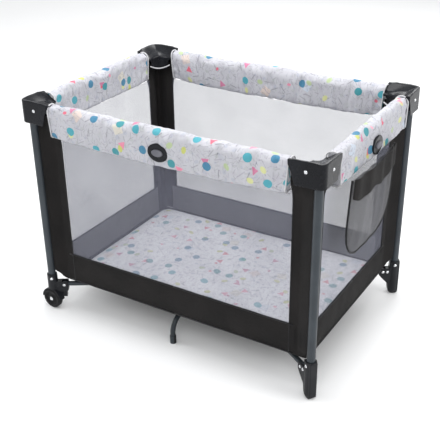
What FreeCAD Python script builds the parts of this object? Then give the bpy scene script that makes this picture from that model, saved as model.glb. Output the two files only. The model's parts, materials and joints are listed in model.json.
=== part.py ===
"""Folding playpen: a tube frame that folds like an umbrella, with padded top rails,
mesh sides, a fabric floor, a mattress pad and a storage pocket. Millimetres.

+X is the length: the wheels are at -X and the pocket is at +X. +Y is towards the back, +Z is
up, and the origin is on the floor under the middle. Pieces that repeat are made once, at the
front right, and mirrored.
"""

import FreeCAD, Part
import os

import Sketcher

doc = FreeCAD.newDocument("playpen")
sheet = doc.addObject("Spreadsheet::Sheet", "size")

# ------------------------------------------------------------------ driving dimensions

SIZES = (
    ("leg_spacing_x", 950, "between leg axes, along the length"),
    ("leg_spacing_y", 650, "between leg axes, along the width"),
    ("overall_height", 745, "floor to the top of the caps"),
    ("rail_drop", 40, "top of the caps down to the axis of the top rails"),
    ("base_height", 84, "floor to the axis of the base tubes"),
    ("leg_diameter", 25, "outside of the leg tubes"),
    ("rail_diameter", 20, "outside of the top rails"),
    ("base_diameter", 16, "outside of the base tubes and centre legs"),
    ("tube_wall", 1.5, "wall of every tube"),
    ("plug_clearance", 1, "between a tube's round end and the wall that it faces"),
    ("centre_leg_pivot", 60, "hub centre to the centre leg's pivot pin, along Y"),
    ("centre_leg_offset", 10, "a centre leg's distance from the middle, along X"),
    ("pin_radius", 3, "pivot pins and rivets"),
    ("pin_clearance", 0.05, "round a pin, in its hole"),
    ("hinge_clearance", 0.6, "between a tube's end and the plates beside it"),
    ("fabric_clearance", 0.5, "between soft pieces and what is beside them"),
    ("cap_reach", 80, "leg axis to the end of a cap's arm"),
    ("cap_taper", 16, "how much shorter a cap's arm is at its bottom edge"),
    ("cap_height", 82, "height of a corner cap"),
    ("cap_half_width", 25, "leg axis to a cap's outer face"),
    ("cap_wall", 3, "wall of a cap's arm"),
    ("cap_roof", 18, "top of a cap down to the channel in its arms"),
    ("cap_dip", 12, "how far a cap's top dips at the leg"),
    ("cap_rounding", 18, "rounding of a cap's upright edges"),
    ("socket_depth", 57, "how far a leg goes up into its cap"),
    ("socket_wall", 4.5, "plastic round a leg in its cap and its foot"),
    ("foot_height", 126, "height of a foot"),
    ("foot_sole", 12, "plastic under the leg's end in a foot"),
    ("foot_rounding", 5, "rounding of a foot's edges"),
    ("rivet_drop", 14, "top of a foot down to the rivet through the leg"),
    ("arm_depth", 22, "foot's arm below its pivot pin"),
    ("foot_web", 12, "foot between the leg's socket and the arm's slot"),
    ("arm_end", 13, "foot's arm past its pivot pin"),
    ("arm_rise", 12, "foot's arm above its pivot pin"),
    ("ear_thickness", 4, "plates of the hinges"),
    ("wheel_diameter", 68, "over the tread"),
    ("wheel_width", 20, "width of a wheel"),
    ("wheel_clearance", 1.5, "round a wheel in its bracket"),
    ("axle_radius", 4, "wheel axle"),
    ("hub_radius", 64, "hub's top plate"),
    ("hub_plate", 4, "thickness of the hub's top plate"),
    ("hub_clearance", 2.2, "between the base tubes and the hub's top plate"),
    ("barrel_radius", 25, "hub's middle"),
    ("barrel_depth", 26, "height of the hub's middle"),
    ("handle_radius", 20, "hub handle"),
    ("well_depth", 13, "depth of the handle's well"),
    ("centre_leg_reach", 303, "hub centre to the centre leg's foot"),
    ("centre_leg_bend", 52, "radius of the centre leg's bend"),
    ("tip_wall", 2, "rubber round the centre leg's end"),
    ("tip_height", 26, "height of the rubber tip"),
    ("web_half_length", 22, "middle of a latch to the end of its web"),
    ("bezel_half_width", 33.5, "oval bezel, along the rail"),
    ("bezel_half_height", 27, "oval bezel, upright"),
    ("bezel_drop", 40, "rail axis down to the bezel's centre"),
    ("bezel_face", 28, "rail axis out to the bezel's face"),
    ("bezel_thickness", 9, "thickness of the bezel"),
    ("button_half_width", 18, "oval button, along the rail"),
    ("button_half_height", 10, "oval button, upright"),
    ("button_stand", 4, "how far a button stands out of its bezel"),
    ("button_depth", 15, "thickness of a button"),
    ("button_travel", 6, "how far a button goes in"),
    ("cover_thickness", 44, "padded rail cover"),
    ("cover_top", 24, "rail axis up to the cover's top"),
    ("cover_bottom", 76, "rail axis down to the cover's hem at the caps"),
    ("cover_sag", 9, "how much lower the hem of a long cover is at the middle"),
    ("cover_rounding", 14, "rounding of the cover's edges"),
    ("fabric_inset", 24, "leg axis in to the middle of the side fabric"),
    ("fabric_thickness", 2, "side fabric and mesh"),
    ("strip_reach", 84, "leg axis to the edge of the dark corner strip"),
    ("border_bottom", 112, "floor to the lower edge of the dark border"),
    ("border_top", 204, "floor to the upper edge of the dark border"),
    ("floor_thickness", 1.4, "fabric floor"),
    ("mattress_thickness", 25, "mattress pad"),
    ("mattress_margin", 8, "between the mattress pad and the side fabric"),
    ("mattress_corner", 30, "radius of the mattress pad's corners"),
    ("pocket_front", -210, "front edge of the pocket"),
    ("pocket_back", 130, "back edge of the pocket"),
    ("pocket_gap", 3, "hem of the rail cover down to the pocket's mouth"),
    ("pocket_height", 245, "height of the pocket"),
    ("pocket_depth", 25, "pocket's depth, front to back"),
    ("pocket_wall", 2, "pocket's fabric"),
)

for row, (alias, number, meaning) in enumerate(SIZES, start=1):
    sheet.set(f"A{row}", alias)
    sheet.set(f"B{row}", str(number))
    sheet.set(f"C{row}", meaning)
    sheet.setAlias(f"B{row}", alias)
doc.recompute()

# ------------------------------------------------------------------ places worked out

HALF_X = "size.leg_spacing_x / 2"
HALF_Y = "size.leg_spacing_y / 2"
LEG_RADIUS = "size.leg_diameter / 2"
RAIL_RADIUS = "size.rail_diameter / 2"
BASE_RADIUS = "size.base_diameter / 2"

RAIL_HEIGHT = "(size.overall_height - size.rail_drop)"

# The pivots of the rails are as far in from the legs, and out from the latches, as the tubes'
# round ends need.
SOCKET_RADIUS = f"({LEG_RADIUS} + size.socket_wall)"
RAIL_PIVOT = f"({SOCKET_RADIUS} + {RAIL_RADIUS} + size.plug_clearance)"
LATCH_PIVOT = f"(size.web_half_length + {RAIL_RADIUS} + size.plug_clearance)"
SLOT_START = f"({SOCKET_RADIUS} + size.foot_web)"
FOOT_REACH = f"({SLOT_START} + {BASE_RADIUS} + size.plug_clearance)"

# Half a rail and the plan of a base tube have the same length along X, and along Y. So they
# all turn by the same angle in the fold.
RUN_X = f"({HALF_X} - {RAIL_PIVOT} - {LATCH_PIVOT})"
RUN_Y = f"({HALF_Y} - {RAIL_PIVOT} - {LATCH_PIVOT})"
RUN = f"sqrt({RUN_X}^2 + {RUN_Y}^2)"
FOOT_X = f"({HALF_X} - {FOOT_REACH} * {RUN_X} / {RUN})"
FOOT_Y = f"({HALF_Y} - {FOOT_REACH} * {RUN_Y} / {RUN})"
HUB_X = f"({FOOT_X} - {RUN_X})"
HUB_Y = f"({FOOT_Y} - {RUN_Y})"
BASE_ANGLE = f"atan2({RUN_Y}; {RUN_X})"

CAP_BOTTOM = "(size.overall_height - size.cap_height)"
HUB_TOP = f"(size.base_height + {BASE_RADIUS} + size.hub_clearance + size.hub_plate)"
HUB_BOTTOM = f"({HUB_TOP} - size.barrel_depth)"
WELL_FLOOR = f"({HUB_TOP} - size.well_depth)"
FLOOR_BOTTOM = f"({HUB_TOP} + size.fabric_clearance)"
FLOOR_TOP = f"({FLOOR_BOTTOM} + size.floor_thickness)"
FABRIC_OUT = "(size.fabric_inset - size.fabric_thickness / 2)"
FABRIC_IN = "(size.fabric_inset + size.fabric_thickness / 2)"
WHEEL_RADIUS = "size.wheel_diameter / 2"
WHEEL_LEG_END = "(size.wheel_diameter + 2 * size.wheel_clearance + size.cap_wall)"
HOLE_RADIUS = "(size.pin_radius + size.pin_clearance)"

UPRIGHT = "rotation(vector(0; 0; 1); 0)"
DOWNWARD = "rotation(vector(1; 0; 0); 180)"
ALONG_X = "rotation(vector(0; 1; 0); 90)"
ALONG_Y = "rotation(vector(1; 0; 0); -90)"
SIDEWAYS = FreeCAD.Vector(1, 0, 0)
BACKWARDS = FreeCAD.Vector(0, 1, 0)


def yaw(angle):
    """A turn about the upright axis."""
    return f"rotation(vector(0; 0; 1); {angle})"


def value(expression):
    """An expression's present value."""
    found = sheet.evalExpression(expression)
    return float(getattr(found, "Value", found))


# ------------------------------------------------------------------ plain solids


def place(thing, x, y, z, turn=UPRIGHT):
    thing.setExpression("Placement", f"placement(vector({x}; {y}; {z}); {turn})")
    return thing


def block(name, x_low, x_high, y_low, y_high, z_low, z_high):
    """A box between six faces."""
    box = doc.addObject("Part::Box", name)
    box.setExpression("Length", f"{x_high} - ({x_low})")
    box.setExpression("Width", f"{y_high} - ({y_low})")
    box.setExpression("Height", f"{z_high} - ({z_low})")
    return place(box, x_low, y_low, z_low)


def rod(name, radius, length, x, y, z, turn=UPRIGHT):
    """A cylinder from a point, along the turned upright axis."""
    cylinder = doc.addObject("Part::Cylinder", name)
    cylinder.setExpression("Radius", radius)
    cylinder.setExpression("Height", length)
    return place(cylinder, x, y, z, turn)


def cross_rod(name, radius, length, x, y, z):
    """A cylinder across the piece, along Y, centred on y."""
    return rod(name, radius, length, x, f"{y} - ({length}) / 2", z, ALONG_Y)


def ball(name, radius, x, y, z):
    sphere = doc.addObject("Part::Sphere", name)
    sphere.setExpression("Radius", radius)
    return place(sphere, x, y, z, ALONG_X)


def joined(name, *parts):
    whole = doc.addObject("Part::MultiFuse", name)
    whole.Shapes = list(parts)
    whole.Refine = True
    return whole


def less(name, base, *tools):
    """base with the tools cut out of it."""
    result = doc.addObject("Part::Cut", name)
    result.Base = base
    result.Tool = tools[0] if len(tools) == 1 else joined(name + "_space", *tools)
    return result


def group(name, *parts):
    """Separate solids that share a node."""
    compound = doc.addObject("Part::Compound", name)
    compound.Links = list(parts)
    return compound


def mirror(name, source, across):
    image = doc.addObject("Part::Mirroring", name)
    image.Source = source
    image.Normal = across
    return image


def oval(name, half_width, half_height, y_low, y_high, z):
    """An oval plate that faces along Y."""
    ring = doc.addObject("Part::Ellipse", name + "_ring")
    ring.setExpression("MajorRadius", half_width)
    ring.setExpression("MinorRadius", half_height)
    place(ring, "0", y_low, z, "rotation(vector(1; 0; 0); 90)")
    plate = doc.addObject("Part::Extrusion", name)
    plate.Base = ring
    plate.DirMode = "Custom"
    plate.Dir = BACKWARDS
    plate.Solid = True
    plate.setExpression("LengthFwd", f"{y_high} - ({y_low})")
    return plate


def outline_pad(name, plane, corners, length, symmetric, rounded=None, radius=None):
    """A body: an outline of straight lines on an origin plane, padded, with some edges
    rounded. Each corner is a pair of expressions."""
    body = doc.addObject("PartDesign::Body", name)
    sketch = body.newObject("Sketcher::SketchObject", name + "_outline")
    origin_plane = [f for f in body.Origin.OriginFeatures if f.Role == plane]
    sketch.AttachmentSupport = (origin_plane[0], [""])
    sketch.MapMode = "FlatFace"
    points = [FreeCAD.Vector(value(x), value(y), 0) for x, y in corners]
    count = len(points)
    for n in range(count):
        line = Part.LineSegment(points[n], points[(n + 1) % count])
        sketch.addGeometry(line, False)
    for n in range(count):
        sketch.addConstraint(Sketcher.Constraint("Coincident", n, 2, (n + 1) % count, 1))
    for n, (x, y) in enumerate(corners):
        for kind, expression, at in (("DistanceX", x, points[n].x), ("DistanceY", y, points[n].y)):
            rule = sketch.addConstraint(Sketcher.Constraint(kind, -1, 1, n, 1, at))
            sketch.setExpression(f"Constraints[{rule}]", expression)
    pad = body.newObject("PartDesign::Pad", name + "_pad")
    pad.Profile = sketch
    pad.setExpression("Length", length)
    pad.SideType = "Symmetric" if symmetric else "One side"
    sketch.Visibility = False
    doc.recompute()
    if rounded:
        edges = [f"Edge{n}" for n, e in enumerate(pad.Shape.Edges, start=1) if rounded(e)]
        fillet = body.newObject("PartDesign::Fillet", name + "_rounding")
        fillet.Base = (pad, edges)
        fillet.setExpression("Radius", radius)
        body.Tip = fillet
        doc.recompute()
    return body


def is_upright(edge):
    ends = [v.Point for v in edge.Vertexes]
    return len(ends) == 2 and (ends[0] - ends[1]).Length - abs(ends[0].z - ends[1].z) < 1e-6


def lies_along_sides(edge):
    """Is this edge in one of the two flat sides of a plate that was padded along Y?"""
    ends = [v.Point for v in edge.Vertexes]
    return len(ends) == 2 and abs(ends[0].y - ends[1].y) < 1e-6


BOTH_ENDS = ("near", "far")


def rivet(name, length, x, y, z, turn=ALONG_Y, radius="size.pin_radius", ends=BOTH_ENDS):
    """A pin along the turned Z, centred on a point, with a domed head at these ends."""
    head_radius = f"({radius} * 1.7)"
    head_height = f"({radius} * 0.6)"
    shaft = rod(name + "_shaft", radius, length, "0", "0", f"-({length}) / 2")
    heads = []
    for end in ends:
        side, flip = ("-", DOWNWARD) if end == "near" else ("", UPRIGHT)
        head = doc.addObject("Part::Cone", f"{name}_{end}_head")
        head.setExpression("Radius1", head_radius)
        head.setExpression("Radius2", radius)
        head.setExpression("Height", head_height)
        heads.append(place(head, "0", "0", f"{side}({length}) / 2", flip))
    return place(joined(name, shaft, *heads), x, y, z, turn)


# ------------------------------------------------------------------ nodes

nodes = {}


def node(name, thing):
    thing.Label = name
    nodes[name] = thing
    return thing


def four_corners(kind, source):
    """The piece at the front right, and its three mirror images."""
    node(f"{kind}_front_right", source)
    left = node(f"{kind}_front_left", mirror(f"{kind}_front_left", source, SIDEWAYS))
    node(f"{kind}_back_right", mirror(f"{kind}_back_right", source, BACKWARDS))
    node(f"{kind}_back_left", mirror(f"{kind}_back_left", left, BACKWARDS))


def four_end_halves(kind, source):
    """The piece on the right end's front half, and its three mirror images."""
    node(f"{kind}_right_front", source)
    left = node(f"{kind}_left_front", mirror(f"{kind}_left_front", source, SIDEWAYS))
    node(f"{kind}_right_back", mirror(f"{kind}_right_back", source, BACKWARDS))
    node(f"{kind}_left_back", mirror(f"{kind}_left_back", left, BACKWARDS))


def front_and_back(kind, source, ending=""):
    node(f"{kind}_front{ending}", source)
    name = f"{kind}_back{ending}"
    node(name, mirror(name, source, BACKWARDS))


# ------------------------------------------------------------------ legs, caps and feet


def leg_tube(name, x_sign, bottom):
    """A round tube from its foot or wheel bracket up into its cap. A rivet goes through it
    near its lower end."""
    length = f"{CAP_BOTTOM} + size.socket_depth - ({bottom})"
    bore = f"{LEG_RADIUS} - size.tube_wall"
    tube = rod(name + "_outside", LEG_RADIUS, length, "0", "0", bottom)
    inside = rod(name + "_inside", bore, length, "0", "0", bottom)
    hole = cross_rod(name + "_hole", HOLE_RADIUS, "size.leg_diameter + 2", "0", "0", RIVET_Z)
    leg = less(name, tube, inside, hole)
    heading = FOOT_HEADING if x_sign > 0 else BRACKET_HEADING
    return place(leg, f"{x_sign} * {HALF_X}", f"-{HALF_Y}", "0", yaw(heading))


def corner_cap():
    """A moulded cap with one arm over each rail's end. The arms are channels, open at the
    bottom and the end, so that the rails can hang down. Its top dips at the leg."""
    wide = "size.cap_half_width"
    reach = "size.cap_reach"
    corners = (
        (f"-{wide}", f"-{wide}"),
        (reach, f"-{wide}"),
        (reach, wide),
        (wide, wide),
        (wide, reach),
        (f"-{wide}", reach),
    )

    def at_outer_or_inner_corner(edge):
        here = edge.Vertexes[0].Point
        return is_upright(edge) and abs(here.x - here.y) < 1e-6

    shell = outline_pad(
        "cap_block",
        "XY_Plane",
        corners,
        "size.cap_height",
        False,
        at_outer_or_inner_corner,
        "size.cap_rounding",
    )
    # the dip is a wide cylinder that lies across the corner, along its diagonal
    half_span = "(size.cap_reach * 0.7)"
    dip_radius = f"(({half_span}^2 + size.cap_dip^2) / (2 * size.cap_dip))"
    dip = rod(
        "cap_dip_space",
        dip_radius,
        "4 * size.cap_reach",
        "-size.cap_reach * 1.4",
        "-size.cap_reach * 1.4",
        f"size.cap_height - size.cap_dip + {dip_radius}",
        "rotation(vector(-1; 1; 0); 90)",
    )
    inner = "(size.cap_half_width - size.cap_wall)"
    channel_top = "size.cap_height - size.cap_roof"
    below = "-1"
    past_end = "size.cap_reach + 1"
    channel_x = block(
        "cap_channel_x", SOCKET_RADIUS, past_end, f"-{inner}", inner, below, channel_top
    )
    channel_y = block(
        "cap_channel_y", f"-{inner}", inner, SOCKET_RADIUS, past_end, below, channel_top
    )
    slant = (
        (reach, channel_top),
        ("size.cap_reach - size.cap_taper", below),
        ("size.cap_reach + 5", below),
        ("size.cap_reach + 5", channel_top),
    )
    slant_x = outline_pad("cap_slant_x", "XZ_Plane", slant, "4 * size.cap_half_width", True)
    slant_y = outline_pad("cap_slant_y", "YZ_Plane", slant, "4 * size.cap_half_width", True)
    socket = rod(
        "cap_socket", f"{LEG_RADIUS} + size.pin_clearance", "size.socket_depth", "0", "0", "0"
    )
    pin_z = f"{RAIL_HEIGHT} - {CAP_BOTTOM}"
    across = "4 * size.cap_half_width"
    hole_x = cross_rod("cap_hole_x", HOLE_RADIUS, across, RAIL_PIVOT, "0", pin_z)
    hole_y = rod(
        "cap_hole_y",
        HOLE_RADIUS,
        across,
        f"-({across}) / 2",
        RAIL_PIVOT,
        pin_z,
        ALONG_X,
    )
    cap = less(
        "corner_cap", shell, dip, channel_x, channel_y, slant_x, slant_y, socket, hole_x, hole_y
    )
    return place(cap, HALF_X, f"-{HALF_Y}", CAP_BOTTOM, yaw("90"))


# The feet, the wheel brackets and the legs are made in a frame of their own: the leg's axis is
# Z, and +X points along the base tube to the hub.
FOOT_HEADING = f"(180 deg - {BASE_ANGLE})"
BRACKET_HEADING = BASE_ANGLE
RIVET_Z = "(size.foot_height - size.rivet_drop)"
SLOT_HALF = f"({BASE_RADIUS} + size.hinge_clearance)"
ARM_HALF = f"({SLOT_HALF} + size.ear_thickness)"
WEB_RIVET_X = f"(({SOCKET_RADIUS} + {SLOT_START}) / 2)"


def foot_arm(name, bottom):
    """The arm that reaches to the base tube's pivot."""
    return block(
        name,
        "0",
        f"{FOOT_REACH} + size.arm_end",
        f"-{ARM_HALF}",
        ARM_HALF,
        bottom,
        "size.base_height + size.arm_rise",
    )


def foot_spaces(name, leg_end):
    """What is cut out of a foot: the leg's bore, the slot for the base tube, and the holes."""
    bore_radius = f"{LEG_RADIUS} + size.pin_clearance"
    across = f"4 * {SOCKET_RADIUS}"
    return (
        rod(name + "_bore", bore_radius, "size.foot_height", "0", "0", leg_end),
        block(
            name + "_slot",
            SLOT_START,
            f"{FOOT_REACH} + size.arm_end + 1",
            f"-{SLOT_HALF}",
            SLOT_HALF,
            f"size.base_height - {BASE_RADIUS} - 2",
            "size.foot_height",
        ),
        cross_rod(
            name + "_pin_hole", HOLE_RADIUS, across, FOOT_REACH, "0", "size.base_height"
        ),
        cross_rod(name + "_leg_hole", HOLE_RADIUS, across, "0", "0", RIVET_Z),
    )


def foot():
    """A tapered plastic foot round the leg's end, with a slotted arm for the base tube."""
    radius = SOCKET_RADIUS
    arm_tip = f"{FOOT_REACH} + size.arm_end"
    sole = "size.foot_sole"
    corners = (
        (f"-{radius}", f"{sole} / 2"),
        (f"-{radius} + {sole} / 2", "0"),
        (f"{radius} - {sole}", "0"),
        (f"{radius}", f"{sole}"),
        (f"{radius} + 3", "size.foot_height * 0.3"),
        (f"{arm_tip} - 8", "size.base_height - size.arm_depth"),
        (arm_tip, "size.base_height - size.arm_rise"),
        (arm_tip, "size.base_height + size.arm_rise"),
        (radius, "size.base_height + size.arm_rise"),
        (f"{radius}", "size.foot_height - 4"),
        (f"{radius} - 4", "size.foot_height"),
        (f"-{radius} + 4", "size.foot_height"),
        (f"-{radius}", "size.foot_height - 4"),
    )
    body = outline_pad(
        "foot_block",
        "XZ_Plane",
        corners,
        f"2 * {ARM_HALF}",
        True,
        lies_along_sides,
        "size.foot_rounding / 2",
    )
    sleeve = rod(
        "foot_sleeve", radius, "size.foot_height - size.foot_sole", "0", "0", "size.foot_sole"
    )
    toe = doc.addObject("Part::Cone", "foot_toe")
    toe.setExpression("Radius1", f"{radius} - 5")
    toe.setExpression("Radius2", radius)
    toe.setExpression("Height", "size.foot_sole")
    solid = joined("foot_solid", body, sleeve, toe)
    across = f"4 * {SOCKET_RADIUS}"
    web_hole = cross_rod("foot_web_hole", HOLE_RADIUS, across, WEB_RIVET_X, "0", "size.base_height")
    result = less("foot", solid, *foot_spaces("foot", "size.foot_sole"), web_hole)
    return place(result, HALF_X, f"-{HALF_Y}", "0", yaw(FOOT_HEADING))


WHEEL_OUT = "(size.leg_diameter / 2 + size.socket_wall)"
PLATE_FRONT = f"(size.wheel_width - {WHEEL_OUT})"


def wheel_bracket():
    """A bracket round the leg's end, with a plate and a hood that hold the wheel, and the same
    slotted arm as a foot. The wheel faces the front."""
    radius = SOCKET_RADIUS
    sleeve = rod(
        "bracket_sleeve",
        radius,
        f"size.foot_height - {WHEEL_LEG_END} + size.cap_wall",
        "0",
        "0",
        f"{WHEEL_LEG_END} - size.cap_wall",
    )
    arm = foot_arm("bracket_arm", "size.base_height - size.arm_depth")
    lug = block(
        "bracket_lug",
        "size.wheel_diameter / 2 - 8",
        f"{FOOT_REACH} + size.arm_end - 6",
        f"-{SLOT_HALF}",
        SLOT_HALF,
        "size.base_height - 46",
        "size.base_height - 20",
    )
    inner_half = joined("bracket_inner", sleeve, arm, lug)
    place(inner_half, "0", "0", "0", yaw(BRACKET_HEADING))
    front = f"-{WHEEL_OUT}"
    hood_radius = f"({WHEEL_RADIUS} + size.wheel_clearance + size.cap_wall)"
    hood_length = f"{WHEEL_OUT} + {PLATE_FRONT} + size.fabric_clearance + size.ear_thickness"
    hood = rod("bracket_hood", hood_radius, hood_length, "0", front, WHEEL_RADIUS, ALONG_Y)
    low = block(
        "bracket_below", f"-{hood_radius}", hood_radius, f"{front} - 1", "60", "-10", WHEEL_RADIUS
    )
    upper_hood = less("bracket_upper_hood", hood, low)
    plate = rod(
        "bracket_plate",
        f"{WHEEL_RADIUS} * 0.62",
        "size.ear_thickness",
        "0",
        f"{PLATE_FRONT} + size.fabric_clearance",
        WHEEL_RADIUS,
        ALONG_Y,
    )
    solid = joined("bracket_solid", inner_half, upper_hood, plate)
    wheel_space = rod(
        "bracket_wheel_space",
        f"{WHEEL_RADIUS} + size.wheel_clearance",
        f"{WHEEL_OUT} + {PLATE_FRONT} + size.fabric_clearance + 60",
        "0",
        f"{front} - 60",
        WHEEL_RADIUS,
        ALONG_Y,
    )
    spaces = joined("bracket_arm_spaces", *foot_spaces("bracket", WHEEL_LEG_END))
    place(spaces, "0", "0", "0", yaw(BRACKET_HEADING))
    axle_hole = cross_rod(
        "bracket_axle_hole", "size.axle_radius + size.pin_clearance", "80", "0", "0", WHEEL_RADIUS
    )
    result = less("wheel_bracket", solid, wheel_space, spaces, axle_hole)
    return place(result, f"-{HALF_X}", f"-{HALF_Y}", "0")


def wheel():
    """A wheel with a raised tread, dished at both sides."""
    front = f"-{WHEEL_OUT}"
    disc = rod("wheel_disc", WHEEL_RADIUS, "size.wheel_width", "0", front, WHEEL_RADIUS, ALONG_Y)
    dish = rod("wheel_dish", f"{WHEEL_RADIUS} * 0.72", "3", "0", front, WHEEL_RADIUS, ALONG_Y)
    hub_boss = rod("wheel_boss", f"{WHEEL_RADIUS} * 0.3", "3", "0", front, WHEEL_RADIUS, ALONG_Y)
    bore = cross_rod(
        "wheel_bore", "size.axle_radius + size.pin_clearance", "80", "0", "0", WHEEL_RADIUS
    )
    body = joined("wheel_body", less("wheel_dished", disc, dish), hub_boss)
    return place(less("wheel", body, bore), f"-{HALF_X}", f"-{HALF_Y}", "0")


def corner_pins(name, x_sign, heading):
    """The rivets of a corner: two rail pins in the cap, the base tube's pin and the rivet that
    holds the leg, and at a foot one more rivet in its web."""
    pin_length = "2 * size.cap_half_width"
    x = f"{x_sign} * ({HALF_X} - {RAIL_PIVOT})"
    rail_pin = rivet(
        name + "_rail_pin", pin_length, x, f"-{HALF_Y}", RAIL_HEIGHT, ends=("near",)
    )
    end_pin = rivet(
        name + "_end_pin",
        pin_length,
        f"{x_sign} * {HALF_X}",
        f"-({HALF_Y} - {RAIL_PIVOT})",
        RAIL_HEIGHT,
        ALONG_X,
        ends=("far",) if x_sign > 0 else ("near",),
    )
    base_pin = rivet(
        name + "_base_pin", f"2 * {ARM_HALF}", FOOT_REACH, "0", "size.base_height"
    )
    leg_rivet = rivet(name + "_leg_rivet", f"2 * {SOCKET_RADIUS}", "0", "0", RIVET_Z)
    low = [base_pin, leg_rivet]
    if x_sign > 0:
        low.append(
            rivet(name + "_web_rivet", f"2 * {ARM_HALF}", WEB_RIVET_X, "0", "size.base_height")
        )
    lower_pins = group(name + "_low", *low)
    place(lower_pins, f"{x_sign} * {HALF_X}", f"-{HALF_Y}", "0", yaw(heading))
    parts = [rail_pin, end_pin, lower_pins]
    if x_sign < 0:
        length = f"{WHEEL_OUT} + {PLATE_FRONT} + size.fabric_clearance + size.ear_thickness"
        middle = f"-{HALF_Y} - {WHEEL_OUT} + ({length}) / 2"
        here = (f"-{HALF_X}", middle, WHEEL_RADIUS)
        parts.append(rivet(name + "_axle", length, *here, ALONG_Y, "size.axle_radius"))
    return group(name, *parts)


# ------------------------------------------------------------------ rails and base tubes


def pivoted_tube(name, radius, length):
    """A tube along X between two pivots, with a round plug at each end for the pin."""
    outside = rod(name + "_outside", radius, length, "0", "0", "0", ALONG_X)
    inside = rod(
        name + "_inside",
        f"{radius} - size.tube_wall",
        f"{length} - 2 * ({radius})",
        radius,
        "0",
        "0",
        ALONG_X,
    )
    parts = [less(name + "_tube", outside, inside)]
    holes = []
    for end, x in (("inner", "0"), ("outer", length)):
        parts.append(ball(f"{name}_{end}_plug", radius, x, "0", "0"))
        holes.append(cross_rod(f"{name}_{end}_hole", HOLE_RADIUS, f"4 * ({radius})", x, "0", "0"))
    return less(name, joined(name + "_solid", *parts), *holes)


def rails():
    front = pivoted_tube("rail_long", RAIL_RADIUS, RUN_X)
    place(front, LATCH_PIVOT, f"-{HALF_Y}", RAIL_HEIGHT)
    four_corners("rail", front)
    end = pivoted_tube("rail_short", RAIL_RADIUS, RUN_Y)
    place(end, HALF_X, f"-{LATCH_PIVOT}", RAIL_HEIGHT, yaw("-90"))
    four_end_halves("rail", end)


def base_tubes():
    tube = pivoted_tube("base_tube", BASE_RADIUS, RUN)
    place(tube, HUB_X, f"-{HUB_Y}", "size.base_height", yaw(f"-{BASE_ANGLE}"))
    four_corners("base_tube", tube)


# ------------------------------------------------------------------ latches

WEB_TOP = f"({RAIL_RADIUS} + 2)"
WEB_BOTTOM = f"({RAIL_RADIUS} + 6)"
CHEEK_IN = f"({RAIL_RADIUS} + size.hinge_clearance)"
CHEEK_OUT = f"({CHEEK_IN} + size.ear_thickness)"
LATCH_END = f"({LATCH_PIVOT} + {RAIL_RADIUS} + 2)"
CASE_HALF = "(size.bezel_half_width - 4)"
CASE_BOTTOM = "(size.bezel_drop + size.bezel_half_height - 2)"
BEZEL_BACK = "(size.bezel_face - size.bezel_thickness)"


def latch_solid(name, gap):
    """The latch's outside, grown by a gap. The rail is along X and the front faces -Y."""
    cheeks = block(
        name + "_cheeks",
        f"-{LATCH_END} - {gap}",
        f"{LATCH_END} + {gap}",
        f"-{CHEEK_OUT} - {gap}",
        f"{CHEEK_OUT} + {gap}",
        f"-{WEB_BOTTOM} - {gap}",
        f"{WEB_TOP} + {gap}",
    )
    case = block(
        name + "_case",
        f"-{CASE_HALF} - {gap}",
        f"{CASE_HALF} + {gap}",
        f"-{BEZEL_BACK} - {gap}",
        f"{CHEEK_OUT} + {gap}",
        f"-{CASE_BOTTOM} - {gap}",
        f"-{WEB_BOTTOM} + size.ear_thickness",
    )
    bezel = oval(
        name + "_bezel",
        f"size.bezel_half_width + {gap}",
        f"size.bezel_half_height + {gap}",
        f"-size.bezel_face - {gap}",
        f"-{BEZEL_BACK} + 1",
        "-size.bezel_drop",
    )
    return joined(name, cheeks, case, bezel)


def latch(name, x, y, turn):
    """The clevis between two half rails, with its case, its oval bezel and its two pins. The
    rails stand up from it when the frame is folded, so it is open at the top."""
    spaces = []
    for side, sign in (("left", "-1"), ("right", "1")):
        low = f"{sign} * (size.web_half_length + {LATCH_END} + 1) / 2"
        half = f"({LATCH_END} + 1 - size.web_half_length) / 2"
        spaces.append(
            block(
                f"{name}_{side}_slot",
                f"{low} - {half}",
                f"{low} + {half}",
                f"-{CHEEK_IN}",
                CHEEK_IN,
                f"-{RAIL_RADIUS} - size.hinge_clearance",
                f"{WEB_TOP} + 1",
            )
        )
        spaces.append(
            cross_rod(
                f"{name}_{side}_hole",
                HOLE_RADIUS,
                f"4 * {CHEEK_OUT}",
                f"{sign} * {LATCH_PIVOT}",
                "0",
                "0",
            )
        )
    spaces.append(
        oval(
            name + "_button_space",
            "size.button_half_width + size.pin_clearance * 4",
            "size.button_half_height + size.pin_clearance * 4",
            "-size.bezel_face - 1",
            "-size.bezel_face + size.button_depth - size.button_stand + size.button_travel + 1",
            "-size.bezel_drop",
        )
    )
    body = less(name + "_body", latch_solid(name + "_solid", "0"), *spaces)
    pins = [
        cross_rod(
            f"{name}_{side}_pin",
            "size.pin_radius",
            f"2 * {CHEEK_OUT}",
            f"{sign} * {LATCH_PIVOT}",
            "0",
            "0",
        )
        for side, sign in (("left", "-1"), ("right", "1"))
    ]
    return place(group(name, body, *pins), x, y, RAIL_HEIGHT, turn)


def button(name, x, y, turn):
    """The oval release button in a latch's bezel."""
    plate = oval(
        name,
        "size.button_half_width",
        "size.button_half_height",
        "-size.bezel_face - size.button_stand",
        "-size.bezel_face - size.button_stand + size.button_depth",
        "-size.bezel_drop",
    )
    holder = group(name + "_placed", plate)
    return place(holder, x, y, RAIL_HEIGHT, turn)


def latches():
    for make, kind in ((latch, "latch"), (button, "latch_button")):
        front = make(kind + "_long", "0", f"-{HALF_Y}", UPRIGHT)
        front_and_back(kind, front)
        right = node(f"{kind}_right", make(kind + "_short", HALF_X, "0", yaw("90")))
        node(f"{kind}_left", mirror(f"{kind}_left", right, SIDEWAYS))


# ------------------------------------------------------------------ hub and centre legs

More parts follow.
